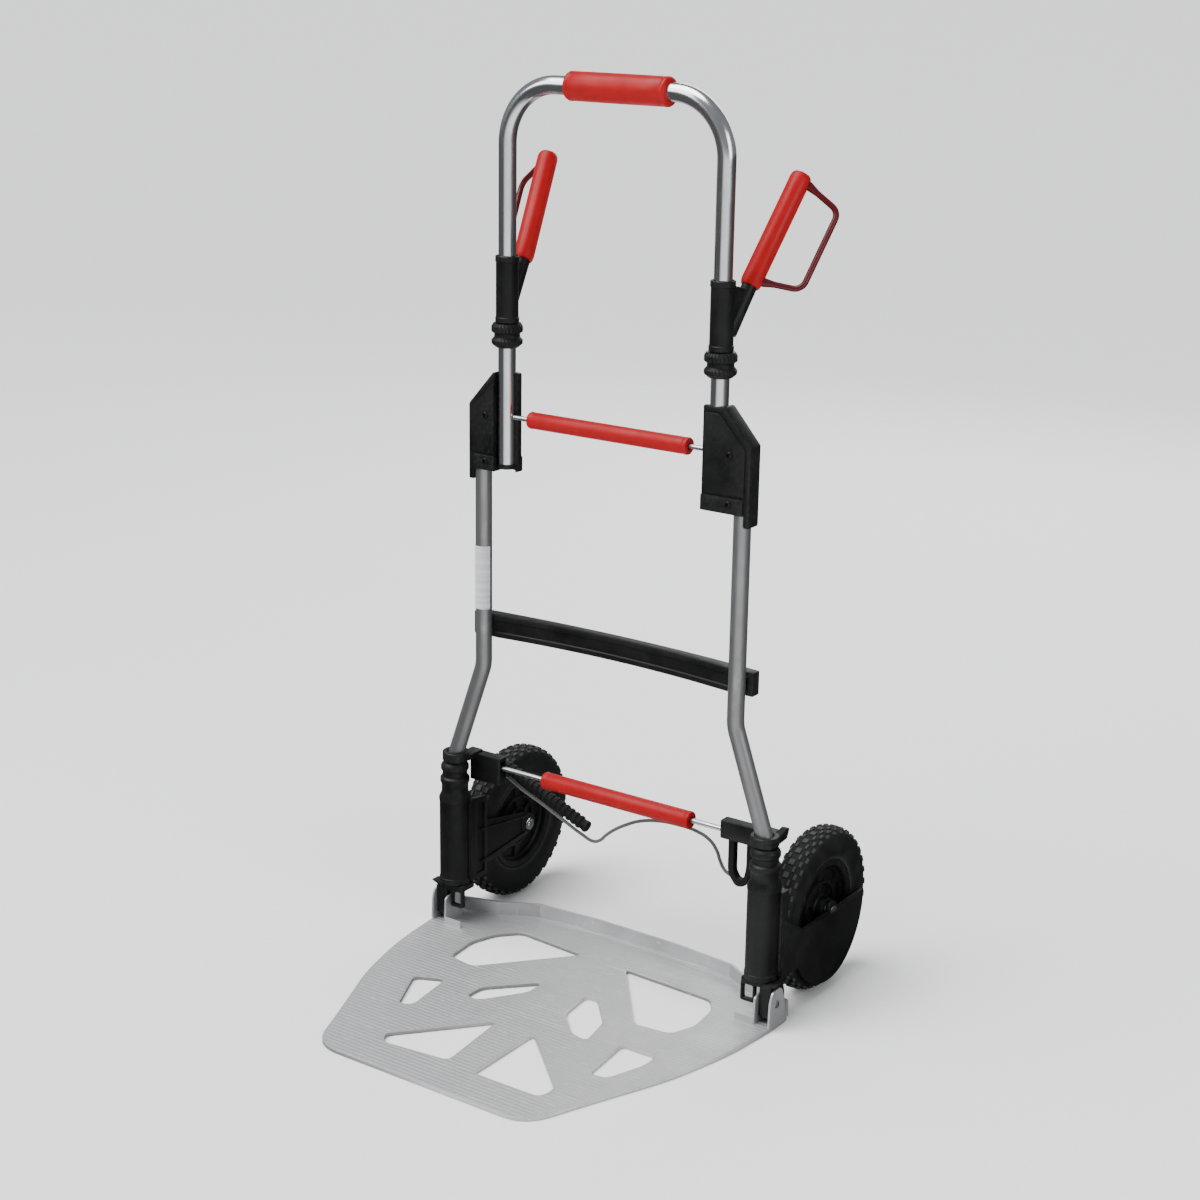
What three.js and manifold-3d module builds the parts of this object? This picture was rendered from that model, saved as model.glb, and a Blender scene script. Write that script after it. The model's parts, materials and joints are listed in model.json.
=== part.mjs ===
// A folding two-wheeled hand truck: bent tube frame, telescoping U handle, swivelling side handles,
// hinged toe plate and swing-in wheels. Millimetres, +Z up, the load side faces -Y, the floor is Z = 0,
// and X = 0 is the plane midway between the two posts.
import * as THREE from "three";
import { mergeVertices } from "three/addons/utils/BufferGeometryUtils.js";
import Module from "manifold-3d";

const wasm = await Module();
wasm.setup();

// ---- Driving dimensions -------------------------------------------------------------------------

const GAP = 0.3; // between pieces that rest on or in each other

const POST_X = 270; // posts beside the wheels
const FRAME_X = 215; // straight upper part of the frame tubes
const LEG_X = 174; // legs of the U handle
const FRAME_TUBE = { outer: 12, bore: 10.5, bottom: 61, shoulder: 268, knee: 425, top: 786 };
const HANDLE_TUBE = { outer: 12.4, bore: 10.8, bottom: 732, top: 1255, bend: 80 };
const TOP_GRIP = { outer: 19.5, half: 80, shift: 8 };

const BRACKET = { inner: 157, outer: 232, front: -15, depth: 30, bottom: 720, skirt: 704, top: 861 };
const UPPER_BAR = { y: -2, z: 799.5, rod: 3.5, sleeve: 12, sleeveHalf: 131.7, ends: [-160.6, 160.6] };
const LOWER_BAR = { y: 34, z: 254, rod: 4, sleeve: 12.8, sleeveHalf: 128.6, ends: [-222, 196] };
const BAR_LIFT = 6; // how far a release bar rises when it is pulled

const CROSS_BAR = { z: 485, height: 34, half: 237, bow: 9, thick: 11 };
const LABEL = { low: 512, high: 606 };

const SLEEVE = { bore: 14.3, outer: 16.7, bottom: 931.5, top: 1023.5 };
const COLLAR = { bottom: 897, top: 930.5 };
const BUSH = { bore: 12.7, outer: 13.9 };
const GRIP_BASE = new THREE.Vector3(184, 48, 1010);
const GRIP_TIP = new THREE.Vector3(206, 138, 1150);
const GRIP_R = 14.5;
const GUARD = { rod: 4.2, reach: 64, low: 24, high: 140 };

const HINGE = { y: -4, z: 36, pin: 4, boss: 9 }; // toe plate hinge axis, along X
const FOOT = { inner: 246, outer: 294.5, front: -14, depth: 30, top: 67.6, roof: 58, sill: 32, toe: 12 };
const CHEEK = { inner: 276, depth: 40 }; // the outboard part of the foot, between the plate's ears
const PLATE = { thick: 5, front: -421, half: 300.5, rear: 95, flange: 25, sheet: 3.2 };

const WHEEL = { y: 146, radius: 120, half: 21, rim: 74, hub: 17, axle: 6 };
const ARM = { outer: 24, bore: 12.4, low: 68, high: 262, shield: 106, innerWall: 243, outerWall: 299.5 };

// ---- Finishes -----------------------------------------------------------------------------------

function finish(color, roughness, metalness) {
  return new THREE.MeshStandardMaterial({ color, roughness, metalness });
}

const CHROME = finish(0xc4c6c8, 0.18, 1);
const GREY_TUBE = finish(0x85878a, 0.38, 0.85);
const STEEL = finish(0xb0b2b5, 0.3, 1);
const DARK_STEEL = finish(0x1c1c1d, 0.45, 0.6);
const ALUMINIUM = finish(0xc2c3c5, 0.42, 0.9);
const BLACK_PLASTIC = finish(0x1e1f20, 0.5, 0);
const TYRE_RUBBER = finish(0x232425, 0.85, 0);
const RED_GRIP = finish(0xe02832, 0.55, 0);
const DARK_RED = finish(0x9c1420, 0.45, 0);
const CORD_GREY = finish(0x55585a, 0.7, 0);
const WHITE_FILM = finish(0xe4e5e6, 0.6, 0);

// ---- Solids -------------------------------------------------------------------------------------

// Turns a closed geometry into a manifold solid, for joining and cutting.
function solid(geometry) {
  const bare = geometry.clone();
  bare.deleteAttribute("normal");
  bare.deleteAttribute("uv");
  const merged = mergeVertices(bare, 1e-3);
  const vertProperties = merged.attributes.position.array;
  const triVerts = new Uint32Array(merged.index.array);
  return new wasm.Manifold(new wasm.Mesh({ numProp: 3, vertProperties, triVerts }));
}

// Turns a manifold solid back into a geometry.
function geometryOf(body) {
  const mesh = body.getMesh();
  const geometry = new THREE.BufferGeometry();
  geometry.setAttribute("position", new THREE.BufferAttribute(new Float32Array(mesh.vertProperties), 3));
  geometry.setIndex(new THREE.BufferAttribute(new Uint32Array(mesh.triVerts), 1));
  const flat = geometry.toNonIndexed();
  flat.computeVertexNormals();
  return flat;
}

const joined = (...geometries) => geometryOf(geometries.map(solid).reduce((a, b) => a.add(b)));

function cut(geometry, ...tools) {
  return geometryOf(tools.map(solid).reduce((body, tool) => body.subtract(tool), solid(geometry)));
}

// A box between two corners.
function box(x0, y0, z0, x1, y1, z1) {
  const geometry = new THREE.BoxGeometry(x1 - x0, y1 - y0, z1 - z0);
  return geometry.translate((x0 + x1) / 2, (y0 + y1) / 2, (z0 + z1) / 2);
}

// A solid of revolution about the vertical axis: [radius, height] pairs, upwards on the outside.
function turned(profile, sides = 20) {
  const points = profile.map(([radius, height]) => new THREE.Vector2(radius, height));
  return new THREE.LatheGeometry(points, sides).rotateX(Math.PI / 2);
}

const disc = (radius, low, high, sides = 20) =>
  turned([[0, low], [radius, low], [radius, high], [0, high]], sides);

const ring = (bore, outer, low, high, sides = 20) =>
  turned([[bore, low], [outer, low], [outer, high], [bore, high], [bore, low]], sides);

// Lays a vertical solid of revolution along +X.
const alongX = (geometry) => geometry.rotateY(Math.PI / 2);

// A rod along X from x0 to x1.
const rodX = (radius, x0, x1, y, z, sides = 16) => alongX(disc(radius, x0, x1, sides)).translate(0, y, z);

// Extrudes an X-Y outline upwards.
function extrudeUp(shape, low, height, curveSegments = 5) {
  const geometry = new THREE.ExtrudeGeometry(shape, { depth: height, bevelEnabled: false, curveSegments });
  return geometry.translate(0, 0, low);
}

// Extrudes an X-Z outline towards +Y, with its long edges eased.
function extrudeBack(shape, front, depth, ease = 0) {
  const options = {
    depth: depth - 2 * ease, curveSegments: 5, bevelEnabled: ease > 0,
    bevelThickness: ease, bevelSize: ease, bevelOffset: -ease, bevelSegments: 1,
  };
  return new THREE.ExtrudeGeometry(shape, options).rotateX(Math.PI / 2).translate(0, front + depth - ease, 0);
}

// Extrudes a Y-Z outline towards +X.
function extrudeAcross(shape, low, width, curveSegments = 6) {
  const turn = new THREE.Matrix4().makeBasis(
    new THREE.Vector3(0, 1, 0), new THREE.Vector3(0, 0, 1), new THREE.Vector3(1, 0, 0));
  const geometry = new THREE.ExtrudeGeometry(shape, { depth: width, bevelEnabled: false, curveSegments });
  return geometry.applyMatrix4(turn).translate(low, 0, 0);
}

const polygon = (points) => new THREE.Shape(points.map(([x, y]) => new THREE.Vector2(x, y)));

// A closed outline with each corner rounded off over a given reach.
function softPolygon(points, reach, Outline = THREE.Shape) {
  const corners = points.map(([x, y]) => new THREE.Vector2(x, y));
  const outline = new Outline();
  corners.forEach((corner, i) => {
    const last = corners[(i + corners.length - 1) % corners.length];
    const next = corners[(i + 1) % corners.length];
    const size = Math.min(reach, corner.distanceTo(last) / 2.2, corner.distanceTo(next) / 2.2);
    const start = corner.clone().add(last.clone().sub(corner).setLength(size));
    const end = corner.clone().add(next.clone().sub(corner).setLength(size));
    if (i === 0) outline.moveTo(start.x, start.y);
    else outline.lineTo(start.x, start.y);
    outline.quadraticCurveTo(corner.x, corner.y, end.x, end.y);
  });
  outline.closePath();
  return outline;
}

// A path of straight runs whose given points are its only sections.
class BentLine extends THREE.Curve {
  constructor(points) {
    super();
    this.points = points;
  }

  getPoint(t, target = new THREE.Vector3()) {
    const place = t * (this.points.length - 1);
    const index = Math.min(Math.floor(place), this.points.length - 2);
    return target.lerpVectors(this.points[index], this.points[index + 1], place - index);
  }

  getUtoTmapping(u) {
    return u;
  }
}

// The points of a path through the corners, each corner rounded to an arc of the given radius.
function bentPoints(corners, radius, perBend = 5) {
  const points = [corners[0]];
  for (let i = 1; i < corners.length - 1; i += 1) {
    const along = corners[i].clone().sub(corners[i - 1]).normalize();
    const onward = corners[i + 1].clone().sub(corners[i]).normalize();
    const angle = along.angleTo(onward);
    const inward = onward.clone().addScaledVector(along, -along.dot(onward)).normalize();
    const start = corners[i].clone().addScaledVector(along, -radius * Math.tan(angle / 2));
    for (let k = 0; k <= perBend; k += 1) {
      const turn = (angle * k) / perBend;
      const point = start.clone().addScaledVector(along, radius * Math.sin(turn));
      points.push(point.addScaledVector(inward, radius * (1 - Math.cos(turn))));
    }
  }
  points.push(corners[corners.length - 1]);
  return points;
}

// A round bar, or a tube where a bore is given, along a list of points.
function swept(points, radius, bore = 0, halfSides = 6) {
  const section = new THREE.Shape().absarc(0, 0, radius, 0, 2 * Math.PI);
  if (bore > 0) section.holes.push(new THREE.Path().absarc(0, 0, bore, 0, 2 * Math.PI, true));
  const options = { steps: points.length - 1, extrudePath: new BentLine(points), curveSegments: halfSides };
  return new THREE.ExtrudeGeometry(section, options);
}

const vec = (x, y, z) => new THREE.Vector3(x, y, z);

function addPart(group, name, geometry, material) {
  const mesh = new THREE.Mesh(geometry, material);
  mesh.name = name;
  group.add(mesh);
  return mesh;
}

// ---- Frame, one side (built for +X; the left side is its mirror image) --------------------------

function frameTube() {
  const { outer, bore, bottom, shoulder, knee, top } = FRAME_TUBE;
  const corners = [
    vec(FRAME_X, 0, top), vec(FRAME_X, 0, knee), vec(POST_X, 0, shoulder), vec(POST_X, 0, bottom),
  ];
  return swept(bentPoints(corners, 60, 3), outer, bore);
}

// Moulded corner bracket: holds the top of the frame tube and guides the handle leg.
function cornerBracket(mouthLow, mouthHigh) {
  const { inner, outer, front, depth, bottom, skirt, top } = BRACKET;
  const outline = polygon([
    [inner, bottom], [outer - 9, bottom], [outer - 9, skirt], [outer, skirt],
    [outer, top - 48], [inner + 33, top], [inner, top],
  ]);
  const legBore = disc(HANDLE_TUBE.outer + GAP, bottom - 5, top + 5).translate(LEG_X, 0, 0);
  const tubeSocket = disc(FRAME_TUBE.outer + GAP, skirt - 5, FRAME_TUBE.top + GAP).translate(FRAME_X, 0, 0);
  const mouthEnd = LEG_X + HANDLE_TUBE.outer + GAP;
  const channel = box(inner - 1, mouthLow, bottom - 1, mouthEnd, mouthHigh, top + 1);
  return cut(extrudeBack(outline, front, depth, 2), legBore, tubeSocket, channel);
}

const screwHead = (radius, height) =>
  turned([[0, 0], [radius, 0], [radius, height * 0.5], [radius * 0.6, height], [0, height]], 12);

// A screw head that stands on a face looking along -Y.
const frontScrew = (x, y, z) => screwHead(4.5, 2.6).rotateX(Math.PI / 2).translate(x, y - GAP, z);

// Cast foot under the post: a socket block, a square catch frame and the cheek that the hinge pin crosses.
function foot() {
  const { inner, outer, front, depth, top, roof, sill, toe } = FOOT;
  const frameEnd = CHEEK.inner - 7.5;
  const block = box(inner, front, roof, outer, front + depth, top);
  const frame = box(inner, front, sill, frameEnd, front + 12, roof + 2);
  const window = box(inner + 5, front - 1, sill + 5.5, frameEnd - 4.5, front + 13, roof);
  const cheek = extrudeAcross(softPolygon([
    [front, toe], [front + CHEEK.depth, toe], [front + CHEEK.depth, roof - 14],
    [front + depth, top], [front, top],
  ], 6), CHEEK.inner, outer - CHEEK.inner, 2);
  const socket = disc(FRAME_TUBE.outer + GAP, FRAME_TUBE.bottom - GAP, top + 5).translate(POST_X, 0, 0);
  const pinBore = rodX(HINGE.pin + GAP, CHEEK.inner - 1, outer + 1, HINGE.y, HINGE.z);
  return cut(joined(block, frame, cheek), window, socket, pinBore);
}

// Bowed plastic bar behind the frame tubes, with a saddle for each tube.
function crossBar() {
  const { z, height, half, bow, thick } = CROSS_BAR;
  const front = FRAME_TUBE.outer * 0.45;
  const outline = new THREE.Shape();
  outline.moveTo(-half, front);
  outline.lineTo(-half + 44, front);
  outline.quadraticCurveTo(0, front + 2 * (bow + 5), half - 44, front);
  outline.lineTo(half, front);
  outline.lineTo(half, front + thick + 6);
  outline.quadraticCurveTo(0, front + 2 * bow + thick + 14, -half, front + thick + 6);
  outline.closePath();
  const low = z - height / 2;
  const bar = new THREE.ExtrudeGeometry(outline, {
    depth: height - 3, curveSegments: 12,
    bevelThickness: 1.5, bevelSize: 1.5, bevelOffset: -1.5, bevelSegments: 1,
  }).translate(0, 0, low + 1.5);
  const saddle = disc(FRAME_TUBE.outer + GAP, low - 1, low + height + 1);
  const saddles = [-FRAME_X, FRAME_X].map((x) => saddle.clone().translate(x, 0, 0));
  return cut(bar, ...saddles);
}

// ---- Side handle, one side ----------------------------------------------------------------------

const clampBush = () => ring(BUSH.bore, BUSH.outer, COLLAR.bottom + 1, SLEEVE.top - 1).translate(LEG_X, 0, 0);

// Twist collar: two knurled flanges and a waist over a short cone.
function twistCollar() {
  const { bottom, top } = COLLAR;
  const bore = BUSH.outer + GAP;
  const profile = [
    [bore, bottom], [16, bottom], [21.5, bottom + 5], [21.5, bottom + 11], [18, bottom + 15],
    [18, bottom + 19], [22, bottom + 22], [22, top - 4], [19, top], [bore, top], [bore, bottom],
  ];
  return turned(profile, 24).translate(LEG_X, 0, 0);
}

// The sleeve round the leg with the arm that carries the grip.
function handleSleeve() {
  const { bore, outer, bottom, top } = SLEEVE;
  const tube = ring(bore - 1, outer, bottom, top);
  const axis = GRIP_TIP.clone().sub(GRIP_BASE).normalize();
  const armEnd = GRIP_BASE.clone().addScaledVector(axis, 40).sub(vec(LEG_X, 0, 0));
  const armStart = vec(4, 11, bottom + 22);
  const arm = swept([armStart, GRIP_BASE.clone().sub(vec(LEG_X, 0, 0)), armEnd], 10.5);
  const web = extrudeAcross(polygon([
    [10, bottom + 6], [GRIP_BASE.y + 3, GRIP_BASE.z - 8], [GRIP_BASE.y - 6, GRIP_BASE.z - 2], [10, top - 6],
  ]), -5, 12).applyMatrix4(new THREE.Matrix4().makeRotationZ(-0.16));
  const hollow = disc(bore, bottom - 5, top + 5);
  return cut(joined(tube, arm, web), hollow).translate(LEG_X, 0, 0);
}

// Places a vertical solid so that its foot is at the grip's base and it points along the grip.
function alongGrip(geometry) {
  const axis = GRIP_TIP.clone().sub(GRIP_BASE).normalize();
  const turn = new THREE.Quaternion().setFromUnitVectors(vec(0, 0, 1), axis);
  return geometry.applyQuaternion(turn).translate(GRIP_BASE.x, GRIP_BASE.y, GRIP_BASE.z);
}

const gripLength = GRIP_BASE.distanceTo(GRIP_TIP);

// Hand grip with a blind bore for the sleeve's arm.
function sideGrip() {
  const profile = [
    [0, 41], [11, 41], [11, 1], [12.5, 1], [GRIP_R, 6], [GRIP_R, gripLength - 8], [GRIP_R - 4, gripLength],
    [0, gripLength],
  ];
  return alongGrip(turned(profile, 16));
}

// Guard bow: a rod from the grip's base round to its tip, clear of the hand.
function sideGuard() {
  const axis = GRIP_TIP.clone().sub(GRIP_BASE).normalize();
  const away = vec(0.81, 0.5, 0).addScaledVector(axis, -vec(0.81, 0.5, 0).dot(axis)).normalize();
  const at = (along, out) => GRIP_BASE.clone().addScaledVector(axis, along).addScaledVector(away, out);
  const { reach, low, high } = GUARD;
  const corners = [at(12, 8), at(low, reach), at(high, reach), at(gripLength - 10, 8)];
  const bow = swept(bentPoints(corners, 14, 4), GUARD.rod, 0, 4);
  return cut(bow, alongGrip(disc(GRIP_R + GAP, -20, gripLength + 20)));
}

// ---- Toe plate ----------------------------------------------------------------------------------

// Cut-outs of the plate, as seen from above, from the rear left round to the rear right.
const CUT_OUTS = [
  [[-195, -105], [-201, -47], [-187, -7], [-160, 22], [-42, 13], [-150, -113]],
  [[-197, -188], [-154, -168], [-142, -256], [-160, -266]],
  [[-98, -192], [-97, -157], [-36, -94], [-34, -129], [-76, -190]],
  [[-118, -345], [-16, -226], [-2, -352], [-104, -364]],
  [[46, -359], [46, -226], [158, -330], [153, -358]],
  [[45, -150], [38, -92], [56, -89], [104, -143], [115, -198], [86, -193]],
  [[170, -270], [160, -178], [216, -178], [217, -207], [196, -266]],
  [[36, 12], [186, 6], [205, -22], [211, -74], [196, -113], [140, -119]],
];

// Walks one half of the rear edge, from the side (side = 1 or -1) towards the middle.
const rearEdge = (side) =>
  [[side * PLATE.half, 36], [side * 232, 56], [side * 176, 86], [side * 70, PLATE.rear]];

function plateOutline() {
  const { front, half } = PLATE;
  const side = [[176, front], [214, -328], [263, -215], [290, -110], [half, -12]];
  const right = [...side, ...rearEdge(1)];
  const left = [...rearEdge(-1).reverse(), ...side.map(([x, y]) => [-x, y]).reverse()];
  return softPolygon([...right, ...left], 38);
}

// The upturned rear flange: a thin wall that follows the rear edge.
function rearFlange() {
  const outer = [...rearEdge(1), ...rearEdge(-1).reverse()].map(([x, y]) => [x * 0.985, y - 0.5]);
  const inner = outer.map(([x, y]) => [x * 0.985, y - PLATE.sheet]).reverse();
  return extrudeUp(softPolygon([...outer, ...inner], 0.6), 1, PLATE.flange - 1, 2);
}

// A hinge ear: a wedge that rises from the plate to a boss round the hinge axis.
function hingeEar(low) {
  const { y, z, boss } = HINGE;
  const ear = new THREE.Shape();
  ear.moveTo(y - 17, 2);
  ear.lineTo(y + 24, 2);
  ear.lineTo(y + boss, z);
  ear.absarc(y, z, boss, 0, Math.PI);
  ear.closePath();
  return extrudeAcross(ear, low, PLATE.sheet, 5);
}

const EAR_LOWS = [CHEEK.inner - 1.2 - PLATE.sheet, FOOT.outer + 1.5];

function toePlate() {
  const outline = plateOutline();
  CUT_OUTS.forEach((points) => outline.holes.push(softPolygon(points, 11, THREE.Path)));
  const sheet = extrudeUp(outline, 0, PLATE.thick, 3);
  const ears = EAR_LOWS.flatMap((low) => [hingeEar(low), hingeEar(-low - PLATE.sheet)]);
  const bore = HINGE.pin + GAP;
  const bores = [rodX(bore, 260, 310, HINGE.y, HINGE.z), rodX(bore, -310, -260, HINGE.y, HINGE.z)];
  return cut(joined(sheet, rearFlange(), ...ears), ...bores);
}

// Hinge pin with a head outboard of the outer ear.
const hingePin = () => rodX(HINGE.pin, EAR_LOWS[0] - 2, EAR_LOWS[1] + PLATE.sheet + 0.5, HINGE.y, HINGE.z);

// ---- Wheel arm and wheel, one side --------------------------------------------------------------

// Sleeve that turns on the post, with a shield outboard of the wheel and a cheek inboard of it.
function wheelArm() {
  const { outer, bore, low, high, shield, innerWall, outerWall } = ARM;
  const sleeve = turned([
    [0, low], [outer - 2, low], [outer, low + 3], [outer, 206], [20, 214], [20, 228], [22, 231], [22, 237],
    [18.5, 240], [18.5, 248], [21, 251], [21, 256], [17, high], [0, high],
  ]).translate(POST_X, 0, 0);
  const skirt = new THREE.Shape();
  skirt.moveTo(6, low);
  skirt.lineTo(WHEEL.y - 88, low);
  skirt.absarc(WHEEL.y, WHEEL.radius, shield, Math.PI * 1.17, 2 * Math.PI);
  skirt.lineTo(WHEEL.y + 24, WHEEL.radius + 4);
  skirt.lineTo(6, WHEEL.radius + 44);
  skirt.closePath();
  const wheelFace = POST_X + WHEEL.half;
  const wall = extrudeAcross(skirt, wheelFace + 3, outerWall - wheelFace - 3, 14);
  const cheek = extrudeAcross(softPolygon([
    [6, low + 4], [30, low + 4], [WHEEL.y + 14, WHEEL.radius - 15], [WHEEL.y + 22, WHEEL.radius],
    [WHEEL.y + 14, WHEEL.radius + 15], [30, 196], [6, 202],
  ], 8), innerWall, 4, 2);
  const bridge = box(innerWall + 1, 3, low + 6, outerWall - 1, 22, 199);
  const boss = rodX(20, outerWall - 2, outerWall + 1.5, WHEEL.y, WHEEL.radius, 20);
  const body = joined(sleeve, bridge, wall, cheek, boss);
  const postBore = disc(bore, low - 5, high + 5, 24).translate(POST_X, 0, 0);
  const axleBore = rodX(WHEEL.axle + GAP, innerWall - 5, outerWall + 5, WHEEL.y, WHEEL.radius);
  const tyreRoom = rodX(WHEEL.radius + 3, innerWall + 4.5, wheelFace + 2.5, WHEEL.y, WHEEL.radius, 40);
  return cut(body, postBore, axleBore, tyreRoom);
}

// Axle bolt with a domed head outboard and a nut-sized end inboard.
function axle() {
  const shaft = disc(WHEEL.axle, ARM.innerWall - 7, ARM.outerWall + 2);
  const head = disc(10, ARM.outerWall + 1.5 + GAP, ARM.outerWall + 4.8);
  return alongX(joined(shaft, head)).translate(0, WHEEL.y, WHEEL.radius);
}

const onAxle = (geometry) => alongX(geometry).translate(POST_X, WHEEL.y, WHEEL.radius);

function axleNut() {
  const start = ARM.innerWall - GAP - POST_X;
  return onAxle(cut(disc(10, start - 5, start, 6), disc(WHEEL.axle + GAP, start - 6, start + 1)));
}

// Solid tyre with a rounded crown and shoulder grooves.
function tyre() {
  const { radius, half, rim } = WHEEL;
  return onAxle(turned([
    [rim + GAP, -half + 5], [radius - 26, -half], [radius - 10, -half + 1], [radius - 2, -half + 9],
    [radius, 0],
    [radius - 2, half - 9], [radius - 10, half - 1], [radius - 26, half], [rim + GAP, half - 5],
    [rim + GAP, -half + 5],
  ], 36));
}

// Plastic rim: a dished web between the bead ring and the hub.
function rim() {
  const { rim: edge, half, hub, axle: shaft } = WHEEL;
  return onAxle(turned([
    [shaft + 5 + GAP, -half + 1], [hub, -half + 1], [hub + 2, -7], [edge - 12, -7], [edge - 10, -half + 6],
    [edge, -half + 6], [edge, half - 6], [edge - 10, half - 6], [edge - 12, 7], [hub + 2, 7], [hub, half - 1],
    [shaft + 5 + GAP, half - 1], [shaft + 5 + GAP, -half + 1],
  ], 28));
}

// Bearing bush between the axle and the rim's hub.
function wheelBush() {
  const { axle: shaft, half } = WHEEL;
  return onAxle(ring(shaft + GAP, shaft + 5, -half + 0.5, half - 0.5));
}

// ---- Latch blocks and stowed tie-down cord ------------------------------------------------------

// Clamp ring on the post above the wheel arm, with a small hook outboard and a block that holds one end of
// the lower bar.
function latchBlock(inner, low) {
  const high = LOWER_BAR.z + LOWER_BAR.rod + BAR_LIFT + 5;
  const clamp = disc(20, ARM.high + 3, ARM.high + 17).translate(POST_X - 2, 0, 0);
  const neck = box(POST_X - 22, 6, ARM.high + 3, POST_X - 2, 40, ARM.high + 12);
  const hookOutline = softPolygon([[8, ARM.high + 4], [30, ARM.high + 6], [36, ARM.high + 20],
    [28, ARM.high + 22], [8, ARM.high + 14]], 3);
  const hook = extrudeAcross(hookOutline, POST_X + 6, 10, 2);
  const blockOutline = softPolygon([[inner, 25], [262, 25], [262, 44], [inner, 44]], 3);
  const block = extrudeUp(blockOutline, low, high - low, 2);
  const { y, z, rod } = LOWER_BAR;
  const slot = box(inner - 1, y - 5, z - rod - 1, inner + 19, y + 5, z + rod + BAR_LIFT + 1);
  const tube = disc(FRAME_TUBE.outer + 3, ARM.high, ARM.high + 20).translate(POST_X - 3, 0, 0);
  return cut(joined(clamp, neck, block, hook), slot, tube);
}

// Ribbed rubber handle of the tie-down cord, hung from the left latch block.
const TIE_HANDLE = { start: vec(-226, 58, 252), end: vec(-66, 58, 186), radius: 10 };

function tieHandle() {
  const { start, end, radius } = TIE_HANDLE;
  return swept([start, end], radius, 0, 6);
}

// The cord's route: under the handle, round its lower end, across below the red bar and down to the loop.
const CORD_ROUTE = [
  vec(-216, 58, 232), vec(-186, 57, 218), vec(-150, 56, 205), vec(-110, 56, 188), vec(-76, 57, 173),
  vec(-56, 58, 167), vec(-44, 58, 172), vec(-34, 57, 182), vec(-20, 56, 194), vec(0, 56, 207),
  vec(26, 56, 220), vec(56, 56, 228), vec(92, 56, 231), vec(124, 56, 229), vec(146, 56, 221),
  vec(158, 56, 208), vec(164, 56, 194), vec(172, 56, 182), vec(181.5, 56, 177),
];
const CORD_R = 2.5;

function tieCord() {
  const path = new THREE.CatmullRomCurve3(CORD_ROUTE);
  const section = new THREE.Shape().absarc(0, 0, CORD_R, 0, 2 * Math.PI);
  return new THREE.ExtrudeGeometry(section, { steps: 44, extrudePath: path, curveSegments: 4 });
}

// U-shaped strap handle at the cord's other end, hung behind the right latch block.
function tieLoop() {
  const outline = softPolygon([[182, 252], [182, 184], [196, 166], [212, 170], [222, 196], [222, 252]], 10);
  const inside = [[192, 243], [192, 188], [199, 178], [208, 180], [212, 198], [212, 243]];
  outline.holes.push(softPolygon(inside, 7, THREE.Path));
  return extrudeBack(outline, 46, 12);
}

// ---- Assembly -----------------------------------------------------------------------------------

function uHandle() {
  const { outer, bore, bottom, top, bend } = HANDLE_TUBE;
  const corners = [vec(-LEG_X, 0, bottom), vec(-LEG_X, 0, top), vec(LEG_X, 0, top), vec(LEG_X, 0, bottom)];
  return swept(bentPoints(corners, bend, 6), outer, bore);
}

// Plug that closes the lower end of a handle leg.
function legPlug() {
  const { outer, bore, bottom } = HANDLE_TUBE;
  const profile = [
    [0, bottom - 8], [outer - 2, bottom - 8], [outer - 0.2, bottom - 6], [outer - 0.2, bottom - GAP],
    [bore - GAP, bottom - GAP], [bore - GAP, bottom + 18], [0, bottom + 18],
  ];
  return turned(profile, 12).translate(LEG_X, 0, 0);
}

function releaseRod({ y, z, rod, ends }) {
  return rodX(rod, ends[0], ends[1], y, z, 10);
}

function releaseSleeve({ y, z, rod, sleeve, sleeveHalf }) {
  return alongX(ring(rod + GAP, sleeve, -sleeveHalf, sleeveHalf, 16)).translate(0, y, z);
}

function topGrip() {
  const { outer, half, shift } = TOP_GRIP;
  const profile = [
    [HANDLE_TUBE.outer + GAP, -half], [outer - 3, -half], [outer, -half + 4], [outer, half - 4],
    [outer - 3, half], [HANDLE_TUBE.outer + GAP, half], [HANDLE_TUBE.outer + GAP, -half],
  ];
  return alongX(turned(profile, 20)).translate(shift, 0, HANDLE_TUBE.top);
}

// Thin blank film wrapped round the front of the left frame tube.
function blankLabel() {
  const film = new THREE.Shape();
  const inside = FRAME_TUBE.outer + GAP;
  film.absarc(0, 0, inside + 0.5, Math.PI * 1.05, Math.PI * 1.95);
  film.absarc(0, 0, inside, Math.PI * 1.95, Math.PI * 1.05, true);
  return extrudeUp(film, LABEL.low, LABEL.high - LABEL.low, 6).translate(-FRAME_X, 0, 0);
}

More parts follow.
